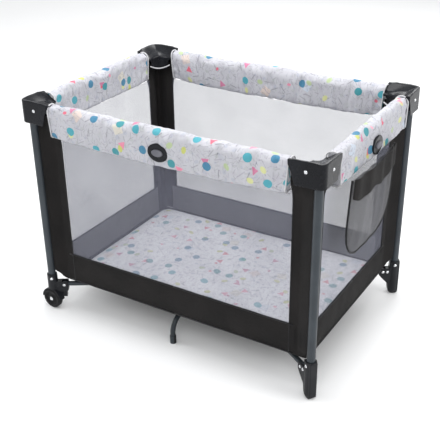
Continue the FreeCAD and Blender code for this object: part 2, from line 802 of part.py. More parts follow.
# Where each centre leg's pin is, and the turn of a leg made along +X. The two legs are side by
# side, so that they pass each other when they hang down.
CENTRE_LEGS = (
    ("front", "-size.centre_leg_offset", "-size.centre_leg_pivot", yaw("-90")),
    ("back", "size.centre_leg_offset", "size.centre_leg_pivot", yaw("90")),
)


def clevis(name, x, y, turn):
    """Two plates under the hub, with a pin hole. The tube leaves along +X."""
    half = f"({BASE_RADIUS} + 4)"
    bottom = f"size.base_height - {BASE_RADIUS} - 1"
    top = f"{HUB_TOP} - size.hub_plate / 2"
    outer = f"{SLOT_HALF} + size.ear_thickness"
    plates = [
        block(name + "_left", f"-{half}", half, SLOT_HALF, outer, bottom, top),
        block(name + "_right", f"-{half}", half, f"-({outer})", f"-{SLOT_HALF}", bottom, top),
    ]
    hole = cross_rod(name + "_hole", HOLE_RADIUS, f"4 * {ARM_HALF}", "0", "0", "size.base_height")
    return place(less(name, joined(name + "_plates", *plates), hole), x, y, "0", turn)


def hub():
    """The centre piece: a top plate, a middle with the handle's well, and six clevises that
    are open at the bottom, so that the tubes can hang down."""
    plate_bottom = f"{HUB_TOP} - size.hub_plate"
    plate = rod("hub_plate_disc", "size.hub_radius", "size.hub_plate", "0", "0", plate_bottom)
    barrel = rod("hub_barrel", "size.barrel_radius", "size.barrel_depth", "0", "0", HUB_BOTTOM)
    diagonal = clevis("hub_clevis", HUB_X, f"-{HUB_Y}", yaw(f"-{BASE_ANGLE}"))
    diagonal_left = mirror("hub_clevis_left", diagonal, SIDEWAYS)
    clevises = [diagonal, diagonal_left]
    clevises += [mirror(f"{c.Name}_back", c, BACKWARDS) for c in clevises]
    for side, x, y, turn in CENTRE_LEGS:
        clevises.append(clevis(f"hub_{side}_clevis", x, y, turn))
    solid = joined("hub_solid", plate, barrel, *clevises)
    well = rod(
        "hub_well",
        "size.handle_radius + size.hinge_clearance",
        "size.well_depth + 1",
        "0",
        "0",
        WELL_FLOOR,
    )
    bore = rod(
        "hub_bore",
        "size.handle_radius * 0.3 + size.pin_clearance",
        "size.barrel_depth",
        "0",
        "0",
        f"{HUB_BOTTOM} - 1",
    )
    body = less("hub_body", solid, well, bore)
    length = f"2 * {ARM_HALF}"
    pin = rod("hub_pin", "size.pin_radius", length, "0", f"-({length}) / 2", "0", ALONG_Y)
    pin_here = place(
        group("hub_pin_right", pin), HUB_X, f"-{HUB_Y}", "size.base_height", yaw(f"-{BASE_ANGLE}")
    )
    pin_left = mirror("hub_pin_left", pin_here, SIDEWAYS)
    pins = [pin_here, pin_left]
    pins += [mirror(f"{p.Name}_back", p, BACKWARDS) for p in pins]
    for side, x, y, turn in CENTRE_LEGS:
        start = f"{x} - {ARM_HALF}"
        pins.append(
            rod(f"hub_{side}_pin", "size.pin_radius", length, start, y, "size.base_height", ALONG_X)
        )
    return group("hub", body, *pins)


def hub_handle():
    """The turning handle in the hub's well, with a shaft through the hub and a retaining disc."""
    shaft_radius = "size.handle_radius * 0.3"
    disc = rod(
        "handle_disc",
        "size.handle_radius",
        "size.well_depth * 0.45",
        "0",
        "0",
        f"{WELL_FLOOR} + 0.3",
    )
    grip = block(
        "handle_grip",
        "-size.handle_radius * 0.85",
        "size.handle_radius * 0.85",
        "-size.handle_radius * 0.22",
        "size.handle_radius * 0.22",
        WELL_FLOOR + " + 1",
        f"{HUB_TOP} - 0.5",
    )
    below = f"{HUB_BOTTOM} - 4"
    shaft_length = f"{WELL_FLOOR} - {HUB_BOTTOM} + 5"
    shaft = rod("handle_shaft", shaft_radius, shaft_length, "0", "0", below)
    retainer = rod("handle_retainer", "size.handle_radius * 0.5", "3.7", "0", "0", below)
    return joined("hub_handle", disc, grip, shaft, retainer)


def centre_legs():
    """Two bent tubes from the hub to rubber tips near the front and back edges. The shape is
    made along +X and then turned."""
    bend = "size.centre_leg_bend"
    run = f"(size.centre_leg_reach - size.centre_leg_pivot - {bend})"
    straight = rod("centre_leg_straight", BASE_RADIUS, run, "0", "0", "size.base_height", ALONG_X)
    inside = rod(
        "centre_leg_inside",
        f"{BASE_RADIUS} - size.tube_wall",
        f"{run} - size.base_diameter",
        BASE_RADIUS,
        "0",
        "size.base_height",
        ALONG_X,
    )
    plug = ball("centre_leg_plug", BASE_RADIUS, "0", "0", "size.base_height")
    elbow = doc.addObject("Part::Torus", "centre_leg_elbow")
    elbow.setExpression("Radius1", bend)
    elbow.setExpression("Radius2", BASE_RADIUS)
    elbow.Angle3 = 90
    # the ring's quarter goes from straight up to straight out, round a centre below the run
    place(elbow, run, "0", f"size.base_height - {bend}", "rotation(vector(1; 0; 0); 90)")
    sole = "size.tip_wall * 1.5"
    drop = f"size.base_height - {bend} - {sole}"
    end = rod("centre_leg_end", BASE_RADIUS, drop, f"{run} + {bend}", "0", sole)
    hole = cross_rod(
        "centre_leg_hole", HOLE_RADIUS, "4 * size.base_diameter", "0", "0", "size.base_height"
    )
    solid = joined("centre_leg_solid", straight, plug, elbow, end)
    tube = less("centre_leg_tube", solid, inside, hole)
    tip_outside = rod(
        "tip_outside",
        f"{BASE_RADIUS} + size.tip_wall",
        "size.tip_height",
        f"{run} + {bend}",
        "0",
        "0",
    )
    tip_bore = rod(
        "tip_bore",
        f"{BASE_RADIUS} + size.pin_clearance",
        "size.tip_height",
        f"{run} + {bend}",
        "0",
        sole,
    )
    tip = less("centre_leg_tip", tip_outside, tip_bore)
    for side, x, y, turn in CENTRE_LEGS:
        leg = group(f"centre_leg_{side}", tube, tip)
        node(f"centre_leg_{side}", place(leg, x, y, "0", turn))


# ------------------------------------------------------------------ soft pieces


def rail_cover(name, run_end, sag, x, y, turn):
    """Half of a padded cover, along +X from the middle of its rail to a cap. It is hollow for
    the rail, and clear of the latch."""
    start = "size.fabric_clearance"
    bottom = "-size.cover_bottom"
    low = f"{bottom} - ({sag})"
    corners = (
        (start, low),
        (f"({run_end}) * 0.35", low),
        (f"({run_end}) * 0.75", bottom),
        (run_end, bottom),
        (run_end, "size.cover_top"),
        (start, "size.cover_top"),
    )
    padding = outline_pad(
        name + "_padding",
        "XZ_Plane",
        corners,
        "size.cover_thickness",
        True,
        lies_along_sides,
        "size.cover_rounding",
    )
    tunnel = rod(
        name + "_tunnel",
        f"{RAIL_RADIUS} + size.fabric_clearance",
        f"{run_end} + 2",
        "0",
        "0",
        "0",
        ALONG_X,
    )
    latch_space = latch_solid(name + "_latch_space", "size.fabric_clearance")
    return place(less(name, padding, tunnel, latch_space), x, y, RAIL_HEIGHT, turn)


def rail_covers():
    end_x = f"({HALF_X} - size.cap_reach - 2 * size.fabric_clearance)"
    long_cover = rail_cover(
        "cover_long", end_x, "size.cover_sag", "0", f"-{HALF_Y}", UPRIGHT
    )
    four_corners("rail_cover", long_cover)
    end_y = f"({HALF_Y} - size.cap_reach - 2 * size.fabric_clearance)"
    # made along +X and turned to run from the middle of the right end to its front
    short_cover = rail_cover("cover_short", end_y, "0", HALF_X, "0", yaw("-90"))
    four_end_halves("rail_cover", mirror_outward("cover_short_out", short_cover))


def mirror_outward(name, source):
    """The same piece with its front turned from -X to +X, about the right end's rail."""
    image = doc.addObject("Part::Mirroring", name)
    image.Source = source
    image.Normal = SIDEWAYS
    image.setExpression("Base.x", HALF_X)
    return image


def side_sheets(name, near, far, z_low, z_high):
    """One upright sheet along the front and one along the right end, which start and end at
    these distances from the leg's axis."""
    gap = "size.fabric_clearance / 2"
    along_x = block(
        name + "_front",
        f"{HALF_X} - {far}" if far else gap,
        f"{HALF_X} - {near}",
        f"-{HALF_Y} + {FABRIC_OUT}",
        f"-{HALF_Y} + {FABRIC_IN}",
        z_low,
        z_high,
    )
    along_y = block(
        name + "_end",
        f"{HALF_X} - {FABRIC_IN}",
        f"{HALF_X} - {FABRIC_OUT}",
        f"-{HALF_Y} + {near} + size.fabric_thickness + {gap}",
        f"-{HALF_Y} + {far}" if far else f"-{gap}",
        z_low,
        z_high,
    )
    return [along_x, along_y]


def dark_fabric():
    """A corner's dark fabric: the strips behind the leg, the lower border, and a quarter of
    the floor, as separate solids."""
    under_cap = f"{CAP_BOTTOM} - size.fabric_clearance"
    strips = side_sheets("strip", FABRIC_OUT, "size.strip_reach", "size.border_top", under_cap)
    borders = side_sheets("border", FABRIC_OUT, None, "size.border_bottom", "size.border_top")
    gap = "size.fabric_clearance / 2"
    floor = block(
        "floor_quarter",
        gap,
        f"{HALF_X} - {FABRIC_IN} - {gap}",
        f"-{HALF_Y} + {FABRIC_IN} + {gap}",
        f"-{gap}",
        FLOOR_BOTTOM,
        FLOOR_TOP,
    )
    return group("dark_fabric", *strips, *borders, floor)


def mesh_panels():
    """A corner's halves of the front panel and of the end panel."""
    near = "(size.strip_reach + size.fabric_clearance)"
    bottom = "size.border_top + size.fabric_clearance"
    return group("mesh", *side_sheets("mesh", near, None, bottom, RAIL_HEIGHT))


def mattress():
    half_x = f"({HALF_X} - {FABRIC_IN} - size.mattress_margin)"
    half_y = f"({HALF_Y} - {FABRIC_IN} - size.mattress_margin)"
    signs = ((-1, -1), (1, -1), (1, 1), (-1, 1))
    corners = [(f"{i} * {half_x}", f"{j} * {half_y}") for i, j in signs]
    pad = outline_pad(
        "mattress_pad",
        "XY_Plane",
        corners,
        "size.mattress_thickness",
        False,
        is_upright,
        "size.mattress_corner",
    )
    return place(pad, "0", "0", f"{FLOOR_TOP} + size.fabric_clearance")


def pocket():
    """An open bag that hangs outside the right end, under the rail cover."""
    back = f"{HALF_X} + size.cover_thickness / 2 + 4"
    face = f"{back} + size.pocket_depth"
    mouth = f"({RAIL_HEIGHT} - size.cover_bottom - size.pocket_gap)"
    bottom = f"({mouth} - size.pocket_height)"
    outside = block(
        "pocket_outside",
        back,
        face,
        "size.pocket_front",
        "size.pocket_back",
        bottom,
        mouth,
    )
    inside = block(
        "pocket_inside",
        f"{back} + size.pocket_wall",
        f"{face} - size.pocket_wall",
        "size.pocket_front + size.pocket_wall",
        "size.pocket_back - size.pocket_wall",
        f"{bottom} + size.pocket_wall",
        f"{mouth} + 1",
    )
    return less("pocket", outside, inside)


# ------------------------------------------------------------------ the whole object

right_leg = leg_tube("leg_tube_right", 1, "size.foot_sole")
left_leg = leg_tube("leg_tube_left", -1, WHEEL_LEG_END)
front_and_back("leg_tube", right_leg, "_right")
front_and_back("leg_tube", left_leg, "_left")
four_corners("corner_cap", corner_cap())
front_and_back("foot", foot(), "_right")
front_and_back("wheel_bracket", wheel_bracket(), "_left")
front_and_back("wheel", wheel(), "_left")
front_and_back("rivets", corner_pins("rivets_right", 1, FOOT_HEADING), "_right")
front_and_back("rivets", corner_pins("rivets_left", -1, BRACKET_HEADING), "_left")
rails()
rail_covers()
latches()
base_tubes()
node("hub", hub())
node("hub_handle", hub_handle())
centre_legs()
four_corners("dark_fabric", dark_fabric())
four_corners("mesh", mesh_panels())
node("mattress", mattress())
node("pocket", pocket())
doc.recompute()

# ------------------------------------------------------------------ checks and files

for thing in doc.Objects:
    if "Invalid" in thing.State or "Error" in thing.State:
        raise RuntimeError(f"{thing.Name} failed: {thing.State}")
for name, thing in nodes.items():
    if thing.Shape.isNull() or not thing.Shape.isValid() or not thing.Shape.Solids:
        raise RuntimeError(f"{name} has no valid shape")

os.makedirs("parts", exist_ok=True)
for name, thing in nodes.items():
    thing.Shape.exportStep(os.path.join("parts", name + ".step"))
print(len(nodes), "nodes written")
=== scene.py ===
import json
import math

import bmesh
import bpy
import numpy as np
from mathutils import Matrix, Vector


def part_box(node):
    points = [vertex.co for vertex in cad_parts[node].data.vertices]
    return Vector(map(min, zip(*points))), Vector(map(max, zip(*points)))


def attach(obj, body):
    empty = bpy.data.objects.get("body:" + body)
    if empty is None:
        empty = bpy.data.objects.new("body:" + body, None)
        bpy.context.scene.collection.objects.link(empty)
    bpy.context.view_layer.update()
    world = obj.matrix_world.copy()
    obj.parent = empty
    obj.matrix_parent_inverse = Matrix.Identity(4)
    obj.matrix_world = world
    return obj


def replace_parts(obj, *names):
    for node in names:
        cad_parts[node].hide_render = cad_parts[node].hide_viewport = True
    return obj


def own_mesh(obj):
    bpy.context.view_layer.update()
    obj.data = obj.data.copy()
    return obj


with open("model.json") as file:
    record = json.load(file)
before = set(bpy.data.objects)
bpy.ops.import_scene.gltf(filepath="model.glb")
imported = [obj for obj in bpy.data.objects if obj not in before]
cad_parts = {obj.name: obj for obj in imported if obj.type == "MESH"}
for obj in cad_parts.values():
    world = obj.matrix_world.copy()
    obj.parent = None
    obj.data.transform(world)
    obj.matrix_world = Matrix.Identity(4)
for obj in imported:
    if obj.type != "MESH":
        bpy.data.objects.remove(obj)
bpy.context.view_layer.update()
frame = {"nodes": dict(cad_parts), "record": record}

# The looks of a folding playpen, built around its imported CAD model. Metres, Z up. The front is
# -Y and the right end, with the storage pocket, is +X.

# ------------------------------------------------------------------ places read from the frame


def middle(node):
    low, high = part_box(node)
    return (low + high) / 2


LEG_X, LEG_Y = (abs(v) for v in middle("leg_tube_front_right")[:2])
RAIL_Z = middle("rail_front_right").z
CAP_LOW, CAP_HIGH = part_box("corner_cap_front_right")
FABRIC_X = abs(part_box("mesh_front_right")[1].x) - 0.001
FABRIC_Y = abs(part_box("mesh_front_right")[0].y) - 0.001
BORDER_LOW = 0.112
BORDER_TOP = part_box("mesh_front_right")[0].z
PAD_LOW, PAD_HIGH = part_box("mattress")
STRIP_REACH = LEG_X - 0.391
LEG_LOW, LEG_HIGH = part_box("leg_tube_front_right")
LEG_RADIUS = (LEG_HIGH.x - LEG_LOW.x) / 2

SIDES = {"front": -1, "back": 1, "left": -1, "right": 1}
HALVES = {
    "front": ("right", "left"),
    "back": ("right", "left"),
    "right": ("front", "back"),
    "left": ("front", "back"),
}
# each corner's name, and the signs of its x and y
CORNERS = [
    (f"{y_side}_{x_side}", SIDES[x_side], SIDES[y_side])
    for y_side in ("front", "back")
    for x_side in ("right", "left")
]

# ------------------------------------------------------------------ node trees


def new_material(name):
    material = bpy.data.materials.new(name)
    material.use_nodes = True
    material.node_tree.nodes.clear()
    return material


def add(tree, kind, inputs=None, **settings):
    """A shader node. An input is a number, a vector or another node's output socket."""
    made = tree.nodes.new(kind)
    for key, value in settings.items():
        setattr(made, key, value)
    for key, value in (inputs or {}).items():
        if isinstance(value, bpy.types.NodeSocket):
            tree.links.new(value, made.inputs[key])
        else:
            made.inputs[key].default_value = value
    return made


def calc(tree, operation, a, b=0.0):
    return add(tree, "ShaderNodeMath", {0: a, 1: b}, operation=operation).outputs[0]


def vector_calc(tree, operation, a, b):
    return add(tree, "ShaderNodeVectorMath", {0: a, 1: b}, operation=operation).outputs[0]


def remap(tree, value, low, high, to_low, to_high):
    made = add(
        tree,
        "ShaderNodeMapRange",
        {"Value": value, "From Min": low, "From Max": high, "To Min": to_low, "To Max": to_high},
    )
    return made.outputs["Result"]


def mix(tree, share, a, b, blend="MIX"):
    """A mix of two colours."""
    made = add(tree, "ShaderNodeMix", data_type="RGBA", blend_type=blend)
    for socket, value in ((made.inputs[0], share), (made.inputs[6], a), (made.inputs[7], b)):
        if isinstance(value, bpy.types.NodeSocket):
            tree.links.new(value, socket)
        else:
            socket.default_value = value
    return made.outputs[2]


def noise(tree, where, per_metre, detail=3.0):
    """A soft random value around a half."""
    made = add(
        tree, "ShaderNodeTexNoise", {"Vector": where, "Scale": per_metre, "Detail": detail}
    )
    return made.outputs["Fac"]


def colour(red, green, blue):
    return (red, green, blue, 1.0)


def surface(
    tree, base, roughness, bumps, metallic=0.0, sheen=0.0, coat=0.0, alpha=None, specular=0.5
):
    """A principled surface. bumps is a list of (height value, metres of relief)."""
    normal = None
    for height, relief in bumps:
        inputs = {"Height": height, "Distance": relief, "Strength": 1.0}
        if normal is not None:
            inputs["Normal"] = normal
        normal = add(tree, "ShaderNodeBump", inputs).outputs[0]
    inputs = {"Base Color": base, "Roughness": roughness, "Metallic": metallic}
    inputs["Specular IOR Level"] = specular
    inputs["Sheen Weight"] = sheen
    inputs["Coat Weight"] = coat
    inputs["Coat Roughness"] = 0.15
    if normal is not None:
        inputs["Normal"] = normal
    if alpha is not None:
        inputs["Alpha"] = alpha
    shader = add(tree, "ShaderNodeBsdfPrincipled", inputs)
    add(tree, "ShaderNodeOutputMaterial", {"Surface": shader.outputs[0]})


def object_place(tree):
    return add(tree, "ShaderNodeTexCoord").outputs["Object"]


# ------------------------------------------------------------------ materials


def hard_material(
    name, dark, light, rough, relief, metallic=0.0, coat=0.0, specular=0.3
):
    """Moulded plastic, paint or metal: cloudy colour, fine grain, and paler worn edges."""
    material = new_material(name)
    tree = material.node_tree
    where = object_place(tree)
    clouds = noise(tree, where, 14.0)
    tone = mix(tree, remap(tree, clouds, 0.35, 0.65, 0.0, 1.0), dark, light)
    edge = add(tree, "ShaderNodeNewGeometry").outputs["Pointiness"]
    worn = remap(tree, edge, 0.54, 0.66, 0.0, 0.25)
    tone = mix(tree, worn, tone, colour(*(min(1.0, 2.2 * v + 0.004) for v in light[:3])))
    gloss = remap(tree, noise(tree, where, 45.0), 0.3, 0.7, rough * 0.85, rough * 1.2)
    bumps = [(noise(tree, where, 900.0, 2.0), relief)]
    surface(tree, tone, gloss, bumps, metallic, coat=coat, specular=specular)
    return material


def weave_height(tree, where, pitch):
    """Threads that cross at right angles in all three planes."""
    split = add(tree, "ShaderNodeSeparateXYZ", {"Vector": where}).outputs
    waves = [calc(tree, "SINE", calc(tree, "MULTIPLY", s, 2 * math.pi / pitch)) for s in split]
    first = calc(tree, "MULTIPLY", waves[0], waves[1])
    second = calc(tree, "MULTIPLY", waves[1], waves[2])
    third = calc(tree, "MULTIPLY", waves[0], waves[2])
    return calc(tree, "ADD", calc(tree, "ADD", first, second), third)


def cloth_material(name, dark, light, pitch=0.0016, sheen=0.15):
    """Woven cloth: crossing threads a pitch apart, clouds of colour and soft creases."""
    material = new_material(name)
    tree = material.node_tree
    where = object_place(tree)
    threads = weave_height(tree, where, pitch)
    clouds = noise(tree, where, 9.0, 4.0)
    tone = mix(tree, remap(tree, clouds, 0.3, 0.7, 0.0, 1.0), dark, light)
    # painted shade: where the weave's height is low, between the threads, the colour is mixed up
    # to 12 per cent towards black
    tone = mix(tree, remap(tree, threads, -1.0, 1.0, 0.12, 0.0), tone, colour(0, 0, 0))
    creases = noise(tree, where, 22.0, 2.0)
    bumps = [(creases, 0.0015), (threads, 0.00018)]
    surface(tree, tone, 0.85, bumps, sheen=sheen, specular=0.2)
    return material


def motif(tree, where, cell, size, share, shape, seed, colours):
    """A scatter of one printed shape, at most one in each cell of a loose grid. where is in
    metres along the cloth. Returns how much of the print covers the cloth, and its colour."""
    scaled = add(
        tree, "ShaderNodeVectorMath", {0: where, "Scale": 1.0 / cell}, operation="SCALE"
    ).outputs[0]
    placed = vector_calc(tree, "ADD", scaled, (seed * 3.7, seed * 1.9, 0.0))
    cells = add(
        tree,
        "ShaderNodeTexVoronoi",
        {"Vector": placed, "Scale": 1.0, "Randomness": 0.72},
        voronoi_dimensions="2D",
    )
    centre = cells.outputs["Position"]
    local = vector_calc(tree, "SUBTRACT", placed, centre)
    chance = add(tree, "ShaderNodeTexWhiteNoise", {"Vector": centre}, noise_dimensions="2D")
    picks = add(tree, "ShaderNodeSeparateColor", {"Color": chance.outputs["Color"]}).outputs
    angle = calc(tree, "MULTIPLY", picks[0], 2 * math.pi)
    turned = add(
        tree, "ShaderNodeVectorRotate", {"Vector": local, "Angle": angle}, rotation_type="Z_AXIS"
    ).outputs[0]
    x, y, _ = add(tree, "ShaderNodeSeparateXYZ", {"Vector": turned}).outputs
    reach = shape(tree, x, y)
    limit = size / cell
    inside = add(
        tree,
        "ShaderNodeMapRange",
        {"Value": reach, "From Min": limit, "From Max": limit * 0.93, "To Min": 0, "To Max": 1},
    ).outputs[0]
    chosen = calc(tree, "LESS_THAN", picks[1], share)
    ramp = add(tree, "ShaderNodeValToRGB", {"Fac": picks[2]})
    ramp.color_ramp.interpolation = "CONSTANT"
    while len(ramp.color_ramp.elements) < len(colours):
        ramp.color_ramp.elements.new(0.5)
    for i, tint in enumerate(colours):
        ramp.color_ramp.elements[i].position = i / len(colours)
        ramp.color_ramp.elements[i].color = tint
    return calc(tree, "MULTIPLY", inside, chosen), ramp.outputs["Color"]


def disc(tree, x, y):
    squared = calc(tree, "ADD", calc(tree, "MULTIPLY", x, x), calc(tree, "MULTIPLY", y, y))
    return calc(tree, "SQRT", squared)


def blob(tree, x, y):
    return disc(tree, x, calc(tree, "MULTIPLY", y, 1.35))


def square(tree, x, y):
    return calc(tree, "MAXIMUM", calc(tree, "ABSOLUTE", x), calc(tree, "ABSOLUTE", y))


def triangle(tree, x, y):
    sideways = calc(tree, "MULTIPLY", calc(tree, "ABSOLUTE", x), 0.866)
    sides = calc(tree, "ADD", sideways, calc(tree, "MULTIPLY", y, 0.5))
    return calc(tree, "MAXIMUM", sides, calc(tree, "MULTIPLY", y, -1.0))


def stroke(tree, x, y):
    """A short pencil line, eight times as long as wide."""
    length = calc(tree, "MULTIPLY", calc(tree, "ABSOLUTE", x), 0.125)
    return calc(tree, "MAXIMUM", length, calc(tree, "ABSOLUTE", y))


TEALS = [colour(0.02, 0.27, 0.31), colour(0.05, 0.36, 0.44), colour(0.03, 0.2, 0.34)]
LIMES = [colour(0.55, 0.58, 0.12), colour(0.66, 0.68, 0.3), colour(0.45, 0.55, 0.3)]
REDS = [colour(0.75, 0.1, 0.17), colour(0.82, 0.24, 0.36), colour(0.6, 0.16, 0.3)]
PEACHES = [colour(0.80, 0.62, 0.50), colour(0.58, 0.68, 0.80), colour(0.76, 0.70, 0.54)]
GREYS = [colour(0.10, 0.10, 0.13), colour(0.20, 0.19, 0.23), colour(0.28, 0.25, 0.34)]
PALES = [colour(0.40, 0.43, 0.52), colour(0.46, 0.44, 0.50), colour(0.42, 0.44, 0.44)]
PAPER = (colour(0.46, 0.46, 0.50), colour(0.60, 0.60, 0.64))
# painted light: the pad's paper is the covers' white cloth painted far brighter than PAPER,
# standing in for the light that the sides and nets keep off the pad
PAD_PAPER_PAINTED_BRIGHT = (colour(0.80, 0.81, 0.86), colour(0.92, 0.92, 0.96))

# cell size, shape size, share of the cells that have one, ink strength, shape, colours
PRINT_LAYERS = (
    (0.120, 0.0160, 0.4, 0.60, square, PEACHES),
    (0.052, 0.0100, 0.35, 0.30, square, PALES),
    (0.030, 0.0070, 0.5, 0.50, blob, PALES),
    (0.021, 0.0042, 0.5, 0.55, blob, PALES),
    (0.0135, 0.0024, 0.5, 0.45, blob, PALES),
    (0.0165, 0.0010, 0.5, 0.42, stroke, GREYS),
    (0.0115, 0.0008, 0.5, 0.38, stroke, GREYS),
    (0.034, 0.0017, 0.45, 0.45, stroke, GREYS),
    (0.040, 0.0032, 0.5, 0.50, blob, GREYS),
    (0.082, 0.0110, 0.50, 0.95, blob, LIMES),
    (0.086, 0.0075, 0.40, 0.95, triangle, REDS),
    (0.090, 0.0065, 0.30, 0.90, blob, REDS),
    (0.078, 0.0130, 0.66, 1.00, disc, TEALS),
)


def print_group(name, paper, ink):
    """The printed pattern, as a node group from a place on the cloth to a colour."""
    tree = bpy.data.node_groups.new(name, "ShaderNodeTree")
    tree.interface.new_socket("Vector", in_out="INPUT", socket_type="NodeSocketVector")
    tree.interface.new_socket("Color", in_out="OUTPUT", socket_type="NodeSocketColor")
    where = tree.nodes.new("NodeGroupInput").outputs[0]
    tone = mix(tree, noise(tree, where, 12.0), *paper)
    for seed, layer in enumerate(PRINT_LAYERS, 1):
        cell, size, share, strength, shape, colours = layer
        cover, tint = motif(tree, where, cell, size, share, shape, seed, colours)
        tone = mix(tree, calc(tree, "MULTIPLY", cover, strength * ink), tone, tint)
    result = tree.nodes.new("NodeGroupOutput")
    tree.links.new(tone, result.inputs[0])
    return tree


def print_material(name, paper, ink):
    """White cloth with the print on it, creased across the gathers (the cloth's own x)."""
    material = new_material(name)
    tree = material.node_tree
    uv = add(tree, "ShaderNodeUVMap", uv_map="cloth").outputs[0]
    group = add(tree, "ShaderNodeGroup", node_tree=print_group(name + "_pattern", paper, ink))
    tree.links.new(uv, group.inputs[0])
    threads = weave_height(tree, object_place(tree), 0.0014)
    # painted shade: where the weave's height is low, between the threads, the print is mixed up to
    # 5 per cent towards black
    tone = mix(tree, remap(tree, threads, -1, 1, 0.05, 0), group.outputs[0], colour(0, 0, 0))
    stretched = vector_calc(tree, "MULTIPLY", uv, Vector((1.0, 0.28, 1.0)))
    gathers = noise(tree, stretched, 62.0, 2.0)
    fine = noise(tree, stretched, 150.0, 2.0)
    surface(tree, tone, 0.8, [(gathers, 0.0055), (fine, 0.0012), (threads, 0.00015)], sheen=0.1)
    return material


NET_PITCH = 0.0021


def net_material(name, tone, hole_share):
    """Fine knitted net: threads round small holes, which let most of the light through."""
    material = new_material(name)
    tree = material.node_tree
    uv = add(tree, "ShaderNodeUVMap", uv_map="cloth").outputs[0]
    cells = add(
        tree,
        "ShaderNodeTexVoronoi",
        {"Vector": uv, "Scale": 1.0 / NET_PITCH, "Randomness": 0.12},
        voronoi_dimensions="2D",
        feature="DISTANCE_TO_EDGE",
    )
    thread = remap(tree, cells.outputs["Distance"], 0.06, 0.2, 1.0, 0.0)
    clouds = noise(tree, uv, 7.0)
    solid = remap(tree, clouds, 0.3, 0.7, 1.0 - hole_share - 0.03, 1.0 - hole_share + 0.03)
    alpha = calc(tree, "ADD", solid, calc(tree, "MULTIPLY", thread, 0.14))
    shade = mix(tree, clouds, tone, colour(*(0.9 * v for v in tone[:3])))
    surface(tree, shade, 0.75, [(thread, 0.0002)], sheen=0.1, alpha=alpha)
    return material


TUBE = hard_material(
    "tube_paint", colour(0.022, 0.027, 0.032), colour(0.034, 0.041, 0.048), 0.34, 0.00006,
    0.2, 0.1, specular=0.25,
)
PLASTIC = hard_material(
    "moulded_plastic", colour(0.0045, 0.005, 0.007), colour(0.008, 0.009, 0.012), 0.26, 0.00004,
    coat=0.07, specular=0.15,
)
FOOT_PLASTIC = hard_material(
    "foot_plastic", colour(0.008, 0.0085, 0.011), colour(0.014, 0.015, 0.018), 0.38, 0.00008,
    coat=0.03, specular=0.22,
)
BUTTON = hard_material(
    "button_plastic", colour(0.10, 0.10, 0.12), colour(0.15, 0.15, 0.17), 0.4, 0.00006
)
RUBBER = hard_material(
    "wheel_rubber", colour(0.006, 0.006, 0.0065), colour(0.012, 0.012, 0.013), 0.55, 0.00015,
    specular=0.2,
)
STEEL = hard_material(
    "rivet_steel", colour(0.62, 0.63, 0.65), colour(0.78, 0.79, 0.8), 0.22, 0.00003, 1.0
)
DARK = cloth_material(
    "dark_cloth", colour(0.008, 0.0072, 0.0072), colour(0.016, 0.0140, 0.0135), sheen=0.03
)
BINDING = cloth_material(
    "black_binding", colour(0.008, 0.008, 0.009), colour(0.016, 0.016, 0.018), pitch=0.0024
)
PIPING = cloth_material(
    "pale_piping", colour(0.66, 0.66, 0.68), colour(0.8, 0.8, 0.82), pitch=0.001
)
SEAM = cloth_material("grey_seam", colour(0.38, 0.38, 0.4), colour(0.5, 0.5, 0.52), pitch=0.001)
LINING = cloth_material("grey_lining", colour(0.15, 0.15, 0.155), colour(0.19, 0.19, 0.195))
PRINT = print_material("printed_cloth", PAPER, 0.95)
PAD_PRINT_PAINTED_BRIGHT = print_material("printed_pad_painted_bright", PAD_PAPER_PAINTED_BRIGHT, 0.62)
NET = net_material("side_net", colour(0.15, 0.155, 0.205), 0.53)
POCKET_NET = net_material("pocket_net", colour(0.055, 0.055, 0.062), 0.27)

# ------------------------------------------------------------------ mesh helpers


def placed(name, data):
    """A new object in the scene."""
    thing = bpy.data.objects.new(name, data)
    bpy.context.scene.collection.objects.link(thing)
    return thing


def show(name, mesh, material, body, levels=0):
    """An object for a mesh, smooth shaded, that rides on a body."""
    piece = placed(name, mesh)
    mesh.materials.clear()
    mesh.materials.append(material)
    for face in mesh.polygons:
        face.use_smooth = True
    if levels:
        divide = piece.modifiers.new("Subdivision", "SUBSURF")
        divide.levels = levels
        divide.render_levels = levels
        apply_modifiers(piece)
    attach(piece, body)
    return piece


def apply_modifiers(piece):
    graph = bpy.context.evaluated_depsgraph_get()
    mesh = bpy.data.meshes.new_from_object(piece.evaluated_get(graph), depsgraph=graph)
    piece.modifiers.clear()
    piece.data = mesh
    return piece


def even_normals(mesh, merge=None):
    """Points a closed mesh's faces outward, and joins points that are within merge metres."""
    work = bmesh.new()
    work.from_mesh(mesh)
    if merge is not None:
        bmesh.ops.remove_doubles(work, verts=work.verts, dist=merge)
    bmesh.ops.recalc_face_normals(work, faces=work.faces)
    work.to_mesh(mesh)
    work.free()


def write_uv(mesh, place):
    """The print's coordinates in metres, from each vertex."""
    layer = mesh.uv_layers.get("cloth") or mesh.uv_layers.new(name="cloth")
    for loop in mesh.loops:
        layer.data[loop.index].uv = place(loop.vertex_index)


def grid_mesh(name, rows, uvs, closed=False, lids=False):
    """A sheet, or a closed tube, through rows of points. uvs has a pair for each point, and
    one more pair at the end of each row of a tube, where it meets itself."""
    points = [p for row in rows for p in row]
    width = len(rows[0])
    faces = []
    corners = []
    for i in range(len(rows) - 1):
        for j in range(width if closed else width - 1):
            k = (j + 1) % width
            faces.append((i * width + j, i * width + k, (i + 1) * width + k, (i + 1) * width + j))
            corners.append([uvs[i][j], uvs[i][j + 1], uvs[i + 1][j + 1], uvs[i + 1][j]])
    if lids:
        first = tuple(reversed(range(width)))
        last = tuple((len(rows) - 1) * width + j for j in range(width))
        faces += [first, last]
        corners += [[uvs[0][j] for j in first], [uvs[-1][j] for j in range(width)]]
    mesh = bpy.data.meshes.new(name)
    mesh.from_pydata([tuple(p) for p in points], [], faces)
    layer = mesh.uv_layers.new(name="cloth")
    for face, pairs in zip(mesh.polygons, corners):
        for loop, pair in zip(face.loop_indices, pairs):
            layer.data[loop].uv = pair
    mesh.validate()
    return mesh


